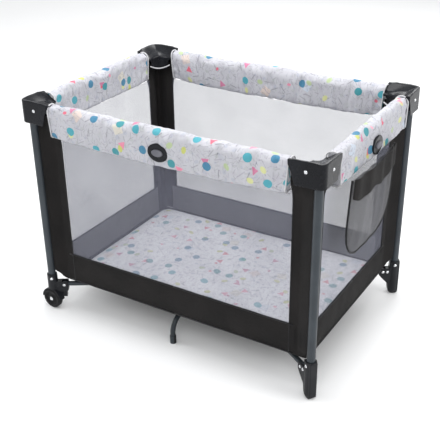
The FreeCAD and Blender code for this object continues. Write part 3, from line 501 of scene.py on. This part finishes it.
def tube_along(name, points, radius):
    """A round cord of cloth through points, with closed ends."""
    sides = 8
    rows = []
    length = 0.0
    uvs = []
    for i, here in enumerate(points):
        ahead = points[min(i + 1, len(points) - 1)]
        behind = points[max(i - 1, 0)]
        forward = (Vector(ahead) - Vector(behind)).normalized()
        across = forward.orthogonal() if abs(forward.z) > 0.9 else forward.cross((0, 0, 1))
        across.normalize()
        upward = across.cross(forward)
        length += (Vector(here) - Vector(behind)).length if i else 0.0
        turns = [2 * math.pi * j / sides for j in range(sides)]
        rows.append(
            [Vector(here) + radius * (math.cos(t) * across + math.sin(t) * upward) for t in turns]
        )
        uvs.append([(length, radius * t) for t in turns + [2 * math.pi]])
    return grid_mesh(name, rows, uvs, closed=True, lids=True)


SIMULATED_FRAMES = 20


def inflate(mesh, pressure, grow, limit, held=None):
    """Blows a closed cloth up a little, and lets it wrinkle. grow is how much larger the cloth
    was cut. No point moves more than limit, and the held points stay."""
    piece = placed("inflating", mesh)
    before = np.array([v.co for v in piece.data.vertices])
    cloth = piece.modifiers.new("Cloth", "CLOTH")
    cloth.settings.quality = 5
    cloth.settings.use_pressure = True
    cloth.settings.uniform_pressure_force = pressure
    cloth.settings.effector_weights.gravity = 0.0
    cloth.settings.shrink_min = -grow
    cloth.collision_settings.use_collision = False
    if held is not None:
        pins = piece.vertex_groups.new(name="held")
        pins.add(held, 1.0, "REPLACE")
        cloth.settings.vertex_group_mass = "held"
    cloth.point_cache.frame_start = 1
    cloth.point_cache.frame_end = SIMULATED_FRAMES
    for moment in range(1, SIMULATED_FRAMES + 1):
        bpy.context.scene.frame_set(moment)
    apply_modifiers(piece)
    bpy.context.scene.frame_set(1)
    after = np.array([v.co for v in piece.data.vertices])
    step = after - before
    size = np.linalg.norm(step, axis=1, keepdims=True)
    step *= np.minimum(1.0, limit / np.maximum(size, 1e-9))
    mesh = piece.data
    bpy.data.objects.remove(piece)
    mesh.vertices.foreach_set("co", (before + step).ravel())
    return mesh


def softened(node, voxel, rounds, reshape=None):
    """A copy of a CAD node's mesh with rounded edges, as moulded plastic has."""
    piece = placed(node + "_soft", frame["nodes"][node].data.copy())
    skin = piece.modifiers.new("Remesh", "REMESH")
    skin.mode = "VOXEL"
    skin.voxel_size = voxel
    even = piece.modifiers.new("Smooth", "SMOOTH")
    even.factor = 0.5
    even.iterations = rounds
    apply_modifiers(piece)
    mesh = piece.data
    bpy.data.objects.remove(piece)
    if reshape is not None:
        for v in mesh.vertices:
            v.co = reshape(v.co)
    return mesh


def body_of(node):
    for body, members in frame["record"]["behaviour"]["bodies"].items():
        if node in members:
            return body


# ------------------------------------------------------------------ hard pieces

# A cap's arms are CAP_SLANT shorter at the bottom, from CAP_CORE outwards. Its top slopes down
# inside the lip, and drops towards the arm ends. CAP_HALF is half an arm's width.
CAP_SLANT = 0.10
CAP_CORE = 0.014
CAP_HALF = 0.025
CAP_LIP = 0.008
CAP_SLOPE = 0.55
CAP_END_DROP = 0.014
CAP_FILLET = 0.050


def smooth_step(low, high, value):
    t = min(1.0, max(0.0, (value - low) / (high - low)))
    return t * t * (3 - 2 * t)


def cap_shape(a, b, height):
    """Where a point of the plain corner cap goes. a and b are its distances from the leg along
    the two arms. The arms are shorter at their bottom, the top falls away to the inside, and
    the inner corner is a wide round."""
    slant = 1.0 - CAP_SLANT * (1.0 - height) ** 1.3
    new_a = a if a < CAP_CORE else CAP_CORE + (a - CAP_CORE) * slant
    new_b = b if b < CAP_CORE else CAP_CORE + (b - CAP_CORE) * slant
    centre = CAP_HALF + CAP_FILLET
    from_centre = math.hypot(centre - a, centre - b)
    inner = min(a, b)
    pull = smooth_step(0.008, 0.024, inner) * max(0.0, from_centre - CAP_FILLET)
    new_a += pull * (centre - a) / from_centre
    new_b += pull * (centre - b) / from_centre
    depth = max(0.0, inner + CAP_HALF - CAP_LIP)
    drop = CAP_SLOPE * depth + CAP_END_DROP * smooth_step(0.0, 0.08, max(a, b))
    drop *= smooth_step(0.35, 1.0, height)
    return new_a, new_b, drop


def mould(name, node, voxel, rounds, material, reshape=None):
    """Stands a softened copy of a CAD node in the node's place."""
    mesh = softened(node, voxel, rounds, reshape)
    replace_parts(show(name, mesh, material, body_of(node)), node)


def corner_caps():
    """The moulded caps on top of the legs, each with two arms over the rail ends."""
    for corner, sx, sy in CORNERS:

        def reshape(co):
            height = min(1.0, max(0.0, (co.z - CAP_LOW.z) / (CAP_HIGH.z - CAP_LOW.z)))
            a, b, drop = cap_shape(LEG_X - sx * co.x, LEG_Y - sy * co.y, height)
            return Vector((sx * (LEG_X - a), sy * (LEG_Y - b), co.z - drop))

        mould(f"cap_{corner}", f"corner_cap_{corner}", 0.0015, 5, PLASTIC, reshape=reshape)


CAP_PIPING_RADIUS = 0.0022
CAP_PIPING_RISE = 0.018
CAP_PIPING_DIP = 0.013


def cap_piping():
    """The pale piping in the hollow of each cap, where the corner strip goes up into it."""
    steps = 24
    centre = CAP_HALF + CAP_FILLET
    for corner, sx, sy in CORNERS:
        points = []
        for i in range(steps + 1):
            turn = math.radians(180 + 90 * i / steps)
            a = centre + (CAP_FILLET - CAP_PIPING_RADIUS) * math.cos(turn)
            b = centre + (CAP_FILLET - CAP_PIPING_RADIUS) * math.sin(turn)
            z = CAP_LOW.z + CAP_PIPING_RISE - CAP_PIPING_DIP * math.sin(math.pi * i / steps)
            points.append(Vector((sx * (LEG_X - a), sy * (LEG_Y - b), z)))
        mesh = tube_along("cap_piping", points, CAP_PIPING_RADIUS)
        show(f"cap_piping_{corner}", mesh, PIPING, f"leg_{corner}")


# share of a button's depth left off its hidden back, clear of the rounded floor of its well
BUTTON_BACK = 0.25


def moulded_parts():
    """The feet, wheel brackets, latches with their buttons, hub and handle."""
    for node in sorted(frame["nodes"]):
        if node.startswith(("foot_", "wheel_bracket_")):
            mould("moulded_" + node, node, 0.0016, 4, FOOT_PLASTIC)
    for side in SIDES:
        mould("bezel_" + side, f"latch_{side}", 0.0014, 4, PLASTIC)
        button = f"latch_button_{side}"
        outward = rest_frame(side)[1]
        front = max(corner.dot(outward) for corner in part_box(button))

        def shorter(co):
            return co + outward * (front - co.dot(outward)) * BUTTON_BACK

        mould("press_button_" + side, button, 0.0009, 5, BUTTON, shorter)
    mould("hub_moulding", "hub", 0.002, 4, FOOT_PLASTIC)
    mould("handle_moulding", "hub_handle", 0.0012, 4, PLASTIC)


def lathe(name, profile, centre):
    """A ring through (distance out, place along Y) pairs, turned about a line along Y."""
    steps = 64
    rows = []
    uvs = []
    for i in range(steps + 1):
        turn = 2 * math.pi * i / steps
        rows.append(
            [
                centre + Vector((r * math.cos(turn), along, r * math.sin(turn)))
                for r, along in profile
            ]
        )
        uvs.append([(turn * 0.03, along) for _, along in profile])
    mesh = grid_mesh(name, rows, uvs)
    even_normals(mesh, merge=0.00002)
    return mesh


def wheels():
    """A ribbed tyre on a dished disc. A wheel turns about a line along Y."""
    bore = 0.0042
    ribs = 5
    for y_side in ("front", "back"):
        node = f"wheel_{y_side}_left"
        low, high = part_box(node)
        centre = (low + high) / 2
        radius = (high.z - low.z) / 2
        half = (high.y - low.y) / 2
        tread = []
        for i in range(ribs):
            start = -half * 0.72 + i * half * 1.44 / ribs
            step = half * 1.44 / ribs
            tread += [(radius, start + step * 0.15), (radius, start + step * 0.7)]
            tread += [(radius * 0.968, start + step * 0.78), (radius * 0.968, start + step * 0.98)]
        side = [
            (bore, half * 0.7),
            (radius * 0.24, half * 0.7),
            (radius * 0.27, half * 0.45),
            (radius * 0.66, half * 0.38),
            (radius * 0.70, half * 0.82),
            (radius * 0.74, half * 0.95),
            (radius * 0.86, half * 0.97),
            (radius * 0.96, half * 0.86),
        ]
        profile = [(r, -a) for r, a in side] + tread + list(reversed(side))
        profile.append(profile[0])
        mesh = lathe(f"tyre_{y_side}", profile, centre)
        wheel = show(f"tyre_{y_side}", mesh, RUBBER, f"wheel_{y_side}")
        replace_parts(wheel, node)


TUBES = (
    "leg_tube", "rail_front", "rail_back", "rail_left", "rail_right", "base_tube", "centre_leg"
)


def paint_cad_nodes():
    """Materials for the CAD nodes that stay in view."""
    for name, thing in frame["nodes"].items():
        if name.startswith("rivets"):
            material = STEEL
        elif name.startswith(TUBES):
            material = TUBE
        else:
            material = PLASTIC
        thing.data.materials.clear()
        thing.data.materials.append(material)
        for face in thing.data.polygons:
            face.material_index = 0
    for side in ("front", "back"):
        add_tip_material(frame["nodes"][f"centre_leg_{side}"])


TIP_TOP = 0.0265
TIP_INSIDE = 0.0101 * 0.82


def add_tip_material(thing):
    """The centre leg's lower end is a rubber tip, which is wider than the tube in it."""
    thing.data.materials.append(RUBBER)
    centre_x = sum(v.co.x for v in thing.data.vertices) / len(thing.data.vertices)
    for face in thing.data.polygons:
        corners = [thing.data.vertices[i].co for i in face.vertices]
        low = all(c.z < TIP_TOP for c in corners)
        if low and max(abs(c.x - centre_x) for c in corners) > TIP_INSIDE:
            face.material_index = 1


# ------------------------------------------------------------------ soft pieces


def rest_frame(side):
    """How a side of the playpen runs: (along, outward, sideways reach, outward reach)."""
    if side in ("front", "back"):
        return Vector((1, 0, 0)), Vector((0, SIDES[side], 0)), LEG_X, LEG_Y
    return Vector((0, 1, 0)), Vector((SIDES[side], 0, 0)), LEG_Y, LEG_X


# A cover's sizes about its rail's axis. COVER_END is its distance from the leg's axis.
COVER_HALF = 0.0215
COVER_CORNER = 0.010
COVER_TOP = 0.024
COVER_BOTTOM = 0.076
COVER_SAG = 0.009
COVER_END = 0.076
COVER_SLANT = 0.009
GATHER_DEPTH = 0.055
LATCH_FULLNESS = 0.12
GATHERS = 9
# spacing of the rows of points, length of the drawn-in end, and metres of print between covers
COVER_GRID = 0.0062
COVER_TAPER = 0.07
PRINT_SHIFT = 3.1
COVER_SEEDS = {"front": 0, "right": 1, "back": 2, "left": 3}


def cover_sag(side, share):
    """How far the long covers' lower edges hang, at a share of the way from their middle."""
    return COVER_SAG * (1 - share * share) if side in ("front", "back") else 0.0


def cover_section(drop):
    """The padded cover's outline about the rail's axis, as (outward, upward) from the inside
    of the lower edge, over the rail, to the outside."""
    points = []
    side = COVER_HALF - COVER_CORNER
    low_centre = COVER_CORNER - drop
    top_centre = COVER_TOP - COVER_HALF
    wall = 11

    def low_round(centre, degrees):
        for a in degrees:
            t = math.radians(a)
            points.append(
                (centre + COVER_CORNER * math.cos(t), low_centre + COVER_CORNER * math.sin(t))
            )

    low_round(-side, (250, 225, 200))
    for i in range(wall):
        share = i / (wall - 1)
        points.append((-COVER_HALF, low_centre + share * (top_centre - low_centre)))
    for a in range(165, 0, -15):
        t = math.radians(a)
        points.append((COVER_HALF * math.cos(t), top_centre + COVER_HALF * math.sin(t)))
    for i in range(wall):
        share = 1 - i / (wall - 1)
        points.append((COVER_HALF, low_centre + share * (top_centre - low_centre)))
    low_round(side, (-20, -45, -70))
    for share in (0.25, 0.5, 0.75):
        points.append((side - share * 2 * side, -drop))
    return points


def gather(here, seed):
    """How much the cover is drawn in at a place along it: uneven folds across the rail. It is
    fuller at the latch."""
    wander = here + 0.006 * math.sin(37 * here + seed)
    folds = math.sin(260 * wander + seed) + 0.7 * math.sin(431 * wander + 2 * seed)
    fuller = LATCH_FULLNESS * smooth_step(0.08, 0.02, here)
    return 1.0 + fuller - GATHER_DEPTH * (1 + folds / 1.7)


def cover_mesh(name, side, half, seed):
    """One half of a padded rail cover, from the middle of the rail to the corner cap."""
    along, outward, reach, out = rest_frame(side)
    length = reach - COVER_END
    sign = SIDES[half]
    count = int(length / COVER_GRID)
    rows = []
    uvs = []
    for i in range(count + 1):
        s = i / count
        here = s * length
        drop = COVER_BOTTOM + cover_sag(side, s)
        section = cover_section(drop)
        perimeter = 0.0
        row = []
        pairs = []
        close = max(0.0, 1.0 - (length - here) / COVER_TAPER)
        for j, (n, z) in enumerate(section):
            if j:
                perimeter += math.hypot(n - section[j - 1][0], z - section[j - 1][1])
            pairs.append((sign * here + PRINT_SHIFT * seed, perimeter))
            wave = math.sin(GATHERS * 2 * math.pi * j / len(section) + 1.3 * seed)
            pull = 1.0 - (0.05 + 0.045 * wave) * close ** 1.5
            centre_z = (COVER_TOP - drop) / 2
            lower = (COVER_TOP - z) / (COVER_TOP + drop)
            point = along * sign * (here - s * COVER_SLANT * lower)
            point = point + outward * (out + n * pull * gather(here, seed))
            point = point + Vector((0, 0, RAIL_Z + centre_z + (z - centre_z) * pull))
            row.append(point)
        step = math.hypot(section[0][0] - section[-1][0], section[0][1] - section[-1][1])
        pairs.append((sign * here + PRINT_SHIFT * seed, perimeter + step))
        if sign * SIDES[side] > 0:
            row = row[:1] + row[:0:-1]
            pairs = pairs[::-1]
        rows.append(row)
        uvs.append(pairs)
    mesh = grid_mesh(name, rows, uvs, closed=True, lids=True)
    return mesh, len(rows), len(rows[0])


def rail_covers():
    """Padded, gathered sleeves over the half rails."""
    for side, seed in COVER_SEEDS.items():
        for half in HALVES[side]:
            node = f"rail_cover_{side}_{half}"
            body = f"rail_{side}_{half}"
            mesh, count, width = cover_mesh(f"cover_{side}_{half}", side, half, seed)
            held = list(range(width)) + list(range((count - 1) * width, count * width))
            mesh = inflate(mesh, 3.0, 0.035, 0.0045, held)
            open_end(mesh, rest_frame(side)[0])
            cover = show(f"padded_{node}", mesh, PRINT, body, levels=1)
            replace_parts(cover, node)
            flatten(cover)
            cover_trim(side, half, body)


def flatten(piece):
    """Gives a piece its own copy of its mesh."""
    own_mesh(piece)


def open_end(mesh, along):
    """Takes the lid off a tube at the middle of the rail, where it meets the other half."""
    sleeve = bmesh.new()
    sleeve.from_mesh(mesh)
    lids = [face for face in sleeve.faces if len(face.verts) > 4]
    inner = min(lids, key=lambda face: abs(face.calc_center_median().dot(along)))
    bmesh.ops.delete(sleeve, geom=[inner], context="FACES_ONLY")
    sleeve.to_mesh(mesh)
    sleeve.free()


def cover_trim(side, half, body):
    """The grey seam under a cover, and the pale piping round its end at the corner cap."""
    along, outward, reach, out = rest_frame(side)
    length = reach - COVER_END
    sign = SIDES[half]
    steps = 40
    points = []
    for i in range(steps + 1):
        s = i / steps
        z = RAIL_Z - COVER_BOTTOM - cover_sag(side, s) + 0.0012
        points.append(along * sign * s * length + outward * (out + 0.0125) + Vector((0, 0, z)))
    mesh = tube_along("seam", points, 0.0014)
    flatten(show(f"seam_{side}_{half}", mesh, SEAM, body))
    points = []
    for n, z in cover_section(COVER_BOTTOM):
        lower = (COVER_TOP - z) / (COVER_TOP + COVER_BOTTOM)
        points.append(
            along * sign * (length - COVER_SLANT * lower - 0.0015) + outward * (out + n * 0.97)
            + Vector((0, 0, RAIL_Z + z * 0.985))
        )
    points.append(points[0])
    mesh = tube_along("piping", points, 0.0021)
    flatten(show(f"piping_{side}_{half}", mesh, PIPING, body))


def sheet_between(name, rows, cols, point, uv):
    """A sheet from a function of two shares."""
    grid = [[point(i / rows, j / cols) for j in range(cols + 1)] for i in range(rows + 1)]
    uvs = [[uv(i / rows, j / cols) for j in range(cols + 1)] for i in range(rows + 1)]
    return grid_mesh(name, grid, uvs)


def side_plane(side):
    """A side's fabric plane: how far out it is, and how far along it the corner strip starts."""
    if side in ("front", "back"):
        return FABRIC_Y, LEG_X - STRIP_REACH
    return FABRIC_X, LEG_Y - STRIP_REACH


HEM_LAP = 0.004
BORDER_LAP = 0.02
BORDER_PROUD = 0.0012
LINING_GAP = 0.0035


def side_sheets():
    """The net and the dark lower border on each half of each side."""
    for side, halves in HALVES.items():
        for half in halves:
            corner = f"{side}_{half}" if side in ("front", "back") else f"{half}_{side}"
            half_side(side, half, corner)


def half_side(side, half, corner):
    along, outward, _, _ = rest_frame(side)
    plane, width = side_plane(side)
    sign = SIDES[half]
    body = f"leg_{corner}"
    hem = RAIL_Z - COVER_BOTTOM + HEM_LAP
    height = hem - BORDER_TOP
    border_height = BORDER_TOP - BORDER_LOW + HEM_LAP

    def gathers(piece):
        tuple(along)
        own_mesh(piece)

    def ripple(u, v):
        edge = math.sin(math.pi * min(1.0, v))
        return 0.0016 * edge * math.sin(9.0 * u + 5.0 * v + sign) * math.sin(math.pi * u)

    def net_point(v, u):
        z = BORDER_TOP + v * (hem - cover_sag(side, u) - BORDER_TOP)
        return along * sign * u * width + outward * (plane + ripple(u, v)) + Vector((0, 0, z))

    def border_point(v, u):
        puff = 0.0025 * math.sin(math.pi * v) + 0.0005 * math.sin(23 * u + 3 * v)
        place = along * sign * u * (width + BORDER_LAP)
        place = place + outward * (plane + BORDER_PROUD + puff)
        return place + Vector((0, 0, BORDER_LOW + v * border_height))

    def lining_point(v, u):
        return border_point(v, u) - outward * LINING_GAP

    name = f"net_{side}_{half}"
    mesh = sheet_between(name, 28, 28, net_point, lambda v, u: (sign * u * width, v * height))
    net = show(name, mesh, NET, body)
    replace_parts(net, f"mesh_{corner}")
    gathers(net)
    for kind, point, material in (
        ("border", border_point, DARK),
        ("lining", lining_point, LINING),
    ):
        name = f"{kind}_{side}_{half}"
        mesh = sheet_between(
            name, 10, 60, point, lambda v, u: (sign * u * width, v * border_height)
        )
        sheet = show(name, mesh, material, body)
        if kind == "border":
            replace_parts(sheet, f"dark_fabric_{corner}")
        gathers(sheet)
    for tag, z in (("lower", BORDER_LOW + 0.001), ("upper", BORDER_LOW + border_height)):
        points = [
            along * sign * (width + 0.015) * i / 20 + outward * (plane + 0.0025)
            + Vector((0, 0, z))
            for i in range(21)
        ]
        mesh = tube_along("hem", points, 0.0022)
        gathers(show(f"hem_{tag}_{side}_{half}", mesh, BINDING, body))


# The strip's bend round the fabric's corner, how proud it stands of the net, how much it waves,
# how far it reaches up into the cap, and how far it spreads there and swells over the leg.
STRIP_TURN = 0.016
STRIP_PROUD = 0.0018
STRIP_WAVE = 0.0006
STRIP_RISE = 0.020
STRIP_FLARE = 0.020
STRIP_HUG = 0.0215
LEG_GAP = 0.0010


def outside_leg(x, y):
    """Keeps a point of the cloth just outside the round of the leg."""
    across = math.hypot(LEG_X - x, LEG_Y - y)
    least = LEG_RADIUS + LEG_GAP
    if across >= least:
        return x, y
    return LEG_X - (LEG_X - x) * least / across, LEG_Y - (LEG_Y - y) * least / across


def corner_strips():
    """The dark cloth round each corner, over the leg, from the border up into the cap."""
    x_run = FABRIC_X - STRIP_TURN - (LEG_X - STRIP_REACH)
    y_run = FABRIC_Y - STRIP_TURN - (LEG_Y - STRIP_REACH)
    arc = STRIP_TURN * math.pi / 2
    total = x_run + arc + y_run
    corner_share = (x_run + arc / 2) / total
    bottom = BORDER_LOW - 0.001
    height = CAP_LOW.z + STRIP_RISE - bottom

    def around(s):
        """The place at a length along the strip, from the front or back edge."""
        if s < x_run:
            return LEG_X - STRIP_REACH + s, FABRIC_Y
        if s < x_run + arc:
            t = (s - x_run) / STRIP_TURN
            return (
                FABRIC_X - STRIP_TURN + STRIP_TURN * math.sin(t),
                FABRIC_Y - STRIP_TURN + STRIP_TURN * math.cos(t),
            )
        return FABRIC_X, FABRIC_Y - STRIP_TURN - (s - x_run - arc)

    def front_right(v, u):
        """The strip's place at the corner where both x and y are positive."""
        x, y = around(u * total)
        wave = STRIP_WAVE * math.sin(7 * v * math.pi + 5 * u) * math.sin(math.pi * u)
        from_leg = min(1.0, abs(2 * u - 1) * 1.4)
        flare = STRIP_FLARE * smooth_step(0.84, 1.0, v) * smooth_step(0.35, 0.8, from_leg)
        hug = STRIP_HUG * smooth_step(0.28, 0.06, abs(u - corner_share))
        hug *= smooth_step(0.0, 0.06, v)
        out_x = STRIP_PROUD + wave + hug + (flare if u > 0.5 else 0.0)
        out_y = STRIP_PROUD + wave + hug + (flare if u < 0.5 else 0.0)
        return outside_leg(x + out_x, y + out_y)

    for corner, sx, sy in CORNERS:
        body = f"leg_{corner}"

        def point(v, u):
            x, y = front_right(v, u)
            return Vector((sx * x, sy * y, bottom + v * height))

        mesh = sheet_between(
            f"strip_{corner}", 40, 56, point, lambda v, u: (u * total, v * height)
        )
        strip = show(f"strip_{corner}", mesh, DARK, body)
        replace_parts(strip, f"dark_fabric_{corner}")
        for tag, share in (("x", 0.0), ("y", 1.0)):
            mesh = tube_along("edge", [point(i / 30, share) for i in range(31)], 0.0018)
            show(f"strip_edge_{tag}_{corner}", mesh, BINDING, body)


FLOOR_BEND = 0.85
FLOOR_GAP = 0.0012


def edge_place(share, inner, outer):
    """Spreads a grid line's share so that its last few lines fall in the upturned edge."""
    if share < FLOOR_BEND:
        return inner * share / FLOOR_BEND
    return inner + (outer - inner) * (share - FLOOR_BEND) / (1 - FLOOR_BEND)


def floor_quarters():
    """The cloth floor, in quarters, each riding on its corner's base."""
    z = PAD_LOW.z - FLOOR_GAP
    for corner, sx, sy in CORNERS:

        def point(v, u):
            x = edge_place(u, PAD_HIGH.x, FABRIC_X)
            y = edge_place(v, PAD_HIGH.y, FABRIC_Y)
            past_x = (x - PAD_HIGH.x) / (FABRIC_X - PAD_HIGH.x)
            past_y = (y - PAD_HIGH.y) / (FABRIC_Y - PAD_HIGH.y)
            dip = 0.0006 * math.sin(6 * u + 2 * v) * math.sin(5 * v)
            rise = max(past_x, past_y, 0.0) * (BORDER_LOW - z)
            return Vector((sx * x, sy * y, z + dip + rise))

        mesh = sheet_between(
            f"floor_{corner}", 20, 28, point,
            lambda v, u: (sx * u * FABRIC_X, sy * v * FABRIC_Y),
        )
        floor = show(f"cloth_floor_{corner}", mesh, DARK, f"base_{corner}")
        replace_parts(floor, f"dark_fabric_{corner}")
        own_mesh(floor)


PAD_HALF_X = PAD_HIGH.x - 0.004
PAD_HALF_Y = PAD_HIGH.y - 0.004
PAD_THICK = PAD_HIGH.z - PAD_LOW.z
PAD_ROUND = 0.03
PAD_GRID = (92, 60)
PAD_FOLDS = (-PAD_HALF_X / 2, 0, PAD_HALF_X / 2)
FOLD_WIDTH = 0.009
FOLD_DEPTH = 0.006


def rounded(x, y):
    """Pulls the corners of the pad's rectangle in to a round."""
    over_x = abs(x) - (PAD_HALF_X - PAD_ROUND)
    over_y = abs(y) - (PAD_HALF_Y - PAD_ROUND)
    if over_x > 0 and over_y > 0:
        size = math.hypot(over_x, over_y)
        most = max(over_x, over_y)
        over_x, over_y = over_x * most / size, over_y * most / size
        x = math.copysign(PAD_HALF_X - PAD_ROUND + over_x, x)
        y = math.copysign(PAD_HALF_Y - PAD_ROUND + over_y, y)
    return x, y


def pad_point(u, v, upper):
    """A point of the pad's lower or upper face. u and v go from -1 to 1."""
    x, y = rounded(u * PAD_HALF_X, v * PAD_HALF_Y)
    rim = max(abs(u) ** 24, abs(v) ** 24)
    groove = sum(math.exp(-(((x - fold) / FOLD_WIDTH) ** 2)) for fold in PAD_FOLDS)
    crown = PAD_THICK * (1 - 0.42 * rim) - FOLD_DEPTH * min(1, groove) * (1 - rim)
    return x, y, PAD_LOW.z + (crown - 0.002 if upper else PAD_THICK * 0.3 * rim)


def pad_mesh():
    """The pad's two faces, joined round their edge."""
    count_x, count_y = PAD_GRID
    row = count_y + 1
    layer = (count_x + 1) * row
    points = [
        pad_point(2 * i / count_x - 1, 2 * j / count_y - 1, upper)
        for upper in (False, True)
        for i in range(count_x + 1)
        for j in range(row)
    ]
    faces = []
    for i in range(count_x):
        for j in range(count_y):
            a = i * row + j
            faces.append((a, a + 1, a + row + 1, a + row))
            b = layer + a
            faces.append((b, b + row, b + row + 1, b + 1))
    edge = [i * row for i in range(count_x + 1)]
    edge += [count_x * row + j for j in range(1, count_y + 1)]
    edge += [i * row + count_y for i in range(count_x - 1, -1, -1)]
    edge += [j for j in range(count_y - 1, 0, -1)]
    for a, b in zip(edge, edge[1:] + edge[:1]):
        faces.append((a, b, layer + b, layer + a))
    mesh = bpy.data.meshes.new("pad")
    mesh.from_pydata(points, [], faces)
    even_normals(mesh)
    return mesh


def mattress():
    """A thin folding pad in the print, with three folds across."""
    mesh = inflate(pad_mesh(), 2.0, 0.012, 0.004)
    for v in mesh.vertices:
        v.co.z = min(max(v.co.z, PAD_LOW.z), PAD_HIGH.z + 0.004)
    write_uv(mesh, lambda i: (mesh.vertices[i].co.x + 7.3, mesh.vertices[i].co.y + 2.1))
    # the pad's print has its paper painted brighter than the covers', as painted light
    pad = show("padded_mattress", mesh, PAD_PRINT_PAINTED_BRIGHT, "mattress", levels=1)
    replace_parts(pad, "mattress")


POCKET_BAND = 0.062
POCKET_LEAN = 0.034
POCKET_BELLY = 0.018


def pocket():
    """A net pocket under the right rail, with a gathered dark band and a bound edge."""
    low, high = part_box("pocket")
    width = high.y - low.y
    height = high.z - low.z
    back = low.x + 0.002
    body = body_of("pocket")

    def outline(u, v):
        """A deep bag: its front edge leans forward, and its lower corners are round."""
        lean = POCKET_LEAN * (1 - v) * (1 - u)
        round_in = v ** 6 * (0.5 - u) * abs(2 * u - 1) * 0.22
        y = low.y + lean + width * (u + round_in)
        bottom = height * (1 - 0.13 * abs(2 * u - 1) ** 3.5)
        return y, high.z - v * bottom

    def bag_point(v, u):
        y, z = outline(u, v)
        deep = math.sin(math.pi * min(1.0, v * 0.93 + 0.07)) ** 0.6
        belly = math.sin(math.pi * u) ** 0.7 * deep
        folds = 0.0022 * math.sin(9 * math.pi * u + 1.2 * v) * (1 - v * 0.5)
        return Vector((back + POCKET_BELLY * belly + folds * math.sin(math.pi * u), y, z))

    mesh = sheet_between("pocket_net", 36, 44, bag_point, lambda v, u: (u * width, v * height))
    bag = show("pocket_net", mesh, POCKET_NET, body, levels=1)
    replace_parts(bag, "pocket")

    def band_point(v, u):
        y, z = outline(u, v * POCKET_BAND / height)
        uneven = u + 0.018 * math.sin(9 * u) + 0.011 * math.sin(23 * u)
        folds = 0.0030 * math.sin(7 * math.pi * uneven) * math.sin(5 * u + 1)
        scallop = 0.012 * abs(math.sin(2.5 * math.pi * uneven)) * v
        x = back + 0.007 + 0.013 * math.sin(math.pi * u) ** 0.5 + folds
        return Vector((x, y, z + 0.004 - scallop))

    mesh = sheet_between(
        "pocket_band", 12, 110, band_point, lambda v, u: (u * width, v * POCKET_BAND)
    )
    top = show("pocket_band", mesh, DARK, body, levels=1)
    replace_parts(top, "pocket")
    edge = [bag_point(v / 24, 0.0) for v in range(25)]
    edge += [bag_point(1.0, u / 24) for u in range(1, 25)]
    edge += [bag_point(1 - v / 24, 1.0) for v in range(1, 25)]
    mesh = tube_along("binding", edge, 0.0032)
    bound = show("pocket_binding", mesh, BINDING, body)
    for piece in (bag, top, bound):
        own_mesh(piece)


# ------------------------------------------------------------------ studio


def light(name, place, target, size, power, tint=(1.0, 1.0, 1.0)):
    lamp = bpy.data.lights.new(name, "AREA")
    lamp.shape = "RECTANGLE"
    lamp.size, lamp.size_y = size
    lamp.energy = power
    lamp.color = tint
    thing = placed(name, lamp)
    thing.location = place
    thing.rotation_euler = (Vector(target) - Vector(place)).to_track_quat("-Z", "Y").to_euler()


FLOOR_REACH = 12.0


def studio():
    """A pale floor, a pale sky and five soft lamps."""
    mesh = bpy.data.meshes.new("floor")
    r = FLOOR_REACH
    mesh.from_pydata([(-r, -r, 0), (r, -r, 0), (r, r, 0), (-r, r, 0)], [], [(0, 1, 2, 3)])
    floor = placed("floor", mesh)
    material = new_material("studio_floor")
    tree = material.node_tree
    where = object_place(tree)
    tone = mix(tree, noise(tree, where, 3.0), colour(0.93, 0.93, 0.93), colour(0.97, 0.97, 0.97))
    surface(tree, tone, 0.9, [(noise(tree, where, 200.0), 0.00005)])
    mesh.materials.append(material)
    floor.location.z = -0.0005
    world = bpy.data.worlds.new("studio")
    bpy.context.scene.world = world
    world.use_nodes = True
    sky = world.node_tree.nodes["Background"]
    sky.inputs["Color"].default_value = (0.98, 0.99, 1.0, 1.0)
    sky.inputs["Strength"].default_value = 0.80
    light("key", (1.6, -3.4, 3.4), (0, 0, 0.4), (2.4, 2.4), 46)
    light("fill", (-3.6, -1.6, 2.4), (0, 0, 0.4), (2.4, 2.4), 24, (0.95, 0.97, 1.0))
    light("right", (3.8, 0.6, 1.8), (0.3, 0, 0.4), (1.0, 2.6), 30)
    light("above", (0, 0, 2.6), (0, 0, 0), (1.8, 1.2), 46)
    light("back", (-0.6, 3.6, 2.6), (0, 0, 0.5), (3.0, 1.6), 48)
    bpy.context.scene.view_settings.view_transform = "Standard"


CAMERA_PLACE = (1.251, -2.072, 1.555)
CAMERA_AZIMUTH = -58.54
CAMERA_ELEVATION = 27.4
CAMERA_ROLL = -0.74
CAMERA_LENS = 68.45


def camera():
    data = bpy.data.cameras.new("camera")
    data.lens = CAMERA_LENS
    data.sensor_width = 36.0
    thing = placed("camera", data)
    azimuth, elevation, roll = (
        math.radians(a) for a in (CAMERA_AZIMUTH, CAMERA_ELEVATION, CAMERA_ROLL)
    )
    level = math.cos(elevation)
    backward = Vector(
        (level * math.cos(azimuth), level * math.sin(azimuth), math.sin(elevation))
    )
    right = Vector((-math.sin(azimuth), math.cos(azimuth), 0))
    upward = backward.cross(right)
    turned = math.cos(roll) * right + math.sin(roll) * upward
    risen = -math.sin(roll) * right + math.cos(roll) * upward
    axes = Matrix((turned, risen, backward)).transposed()
    thing.matrix_world = Matrix.Translation(CAMERA_PLACE) @ axes.to_4x4()
    bpy.context.scene.camera = thing


# ------------------------------------------------------------------ the whole scene

camera()
studio()
paint_cad_nodes()
corner_caps()
cap_piping()
moulded_parts()
wheels()
rail_covers()
side_sheets()
corner_strips()
floor_quarters()
mattress()
pocket()
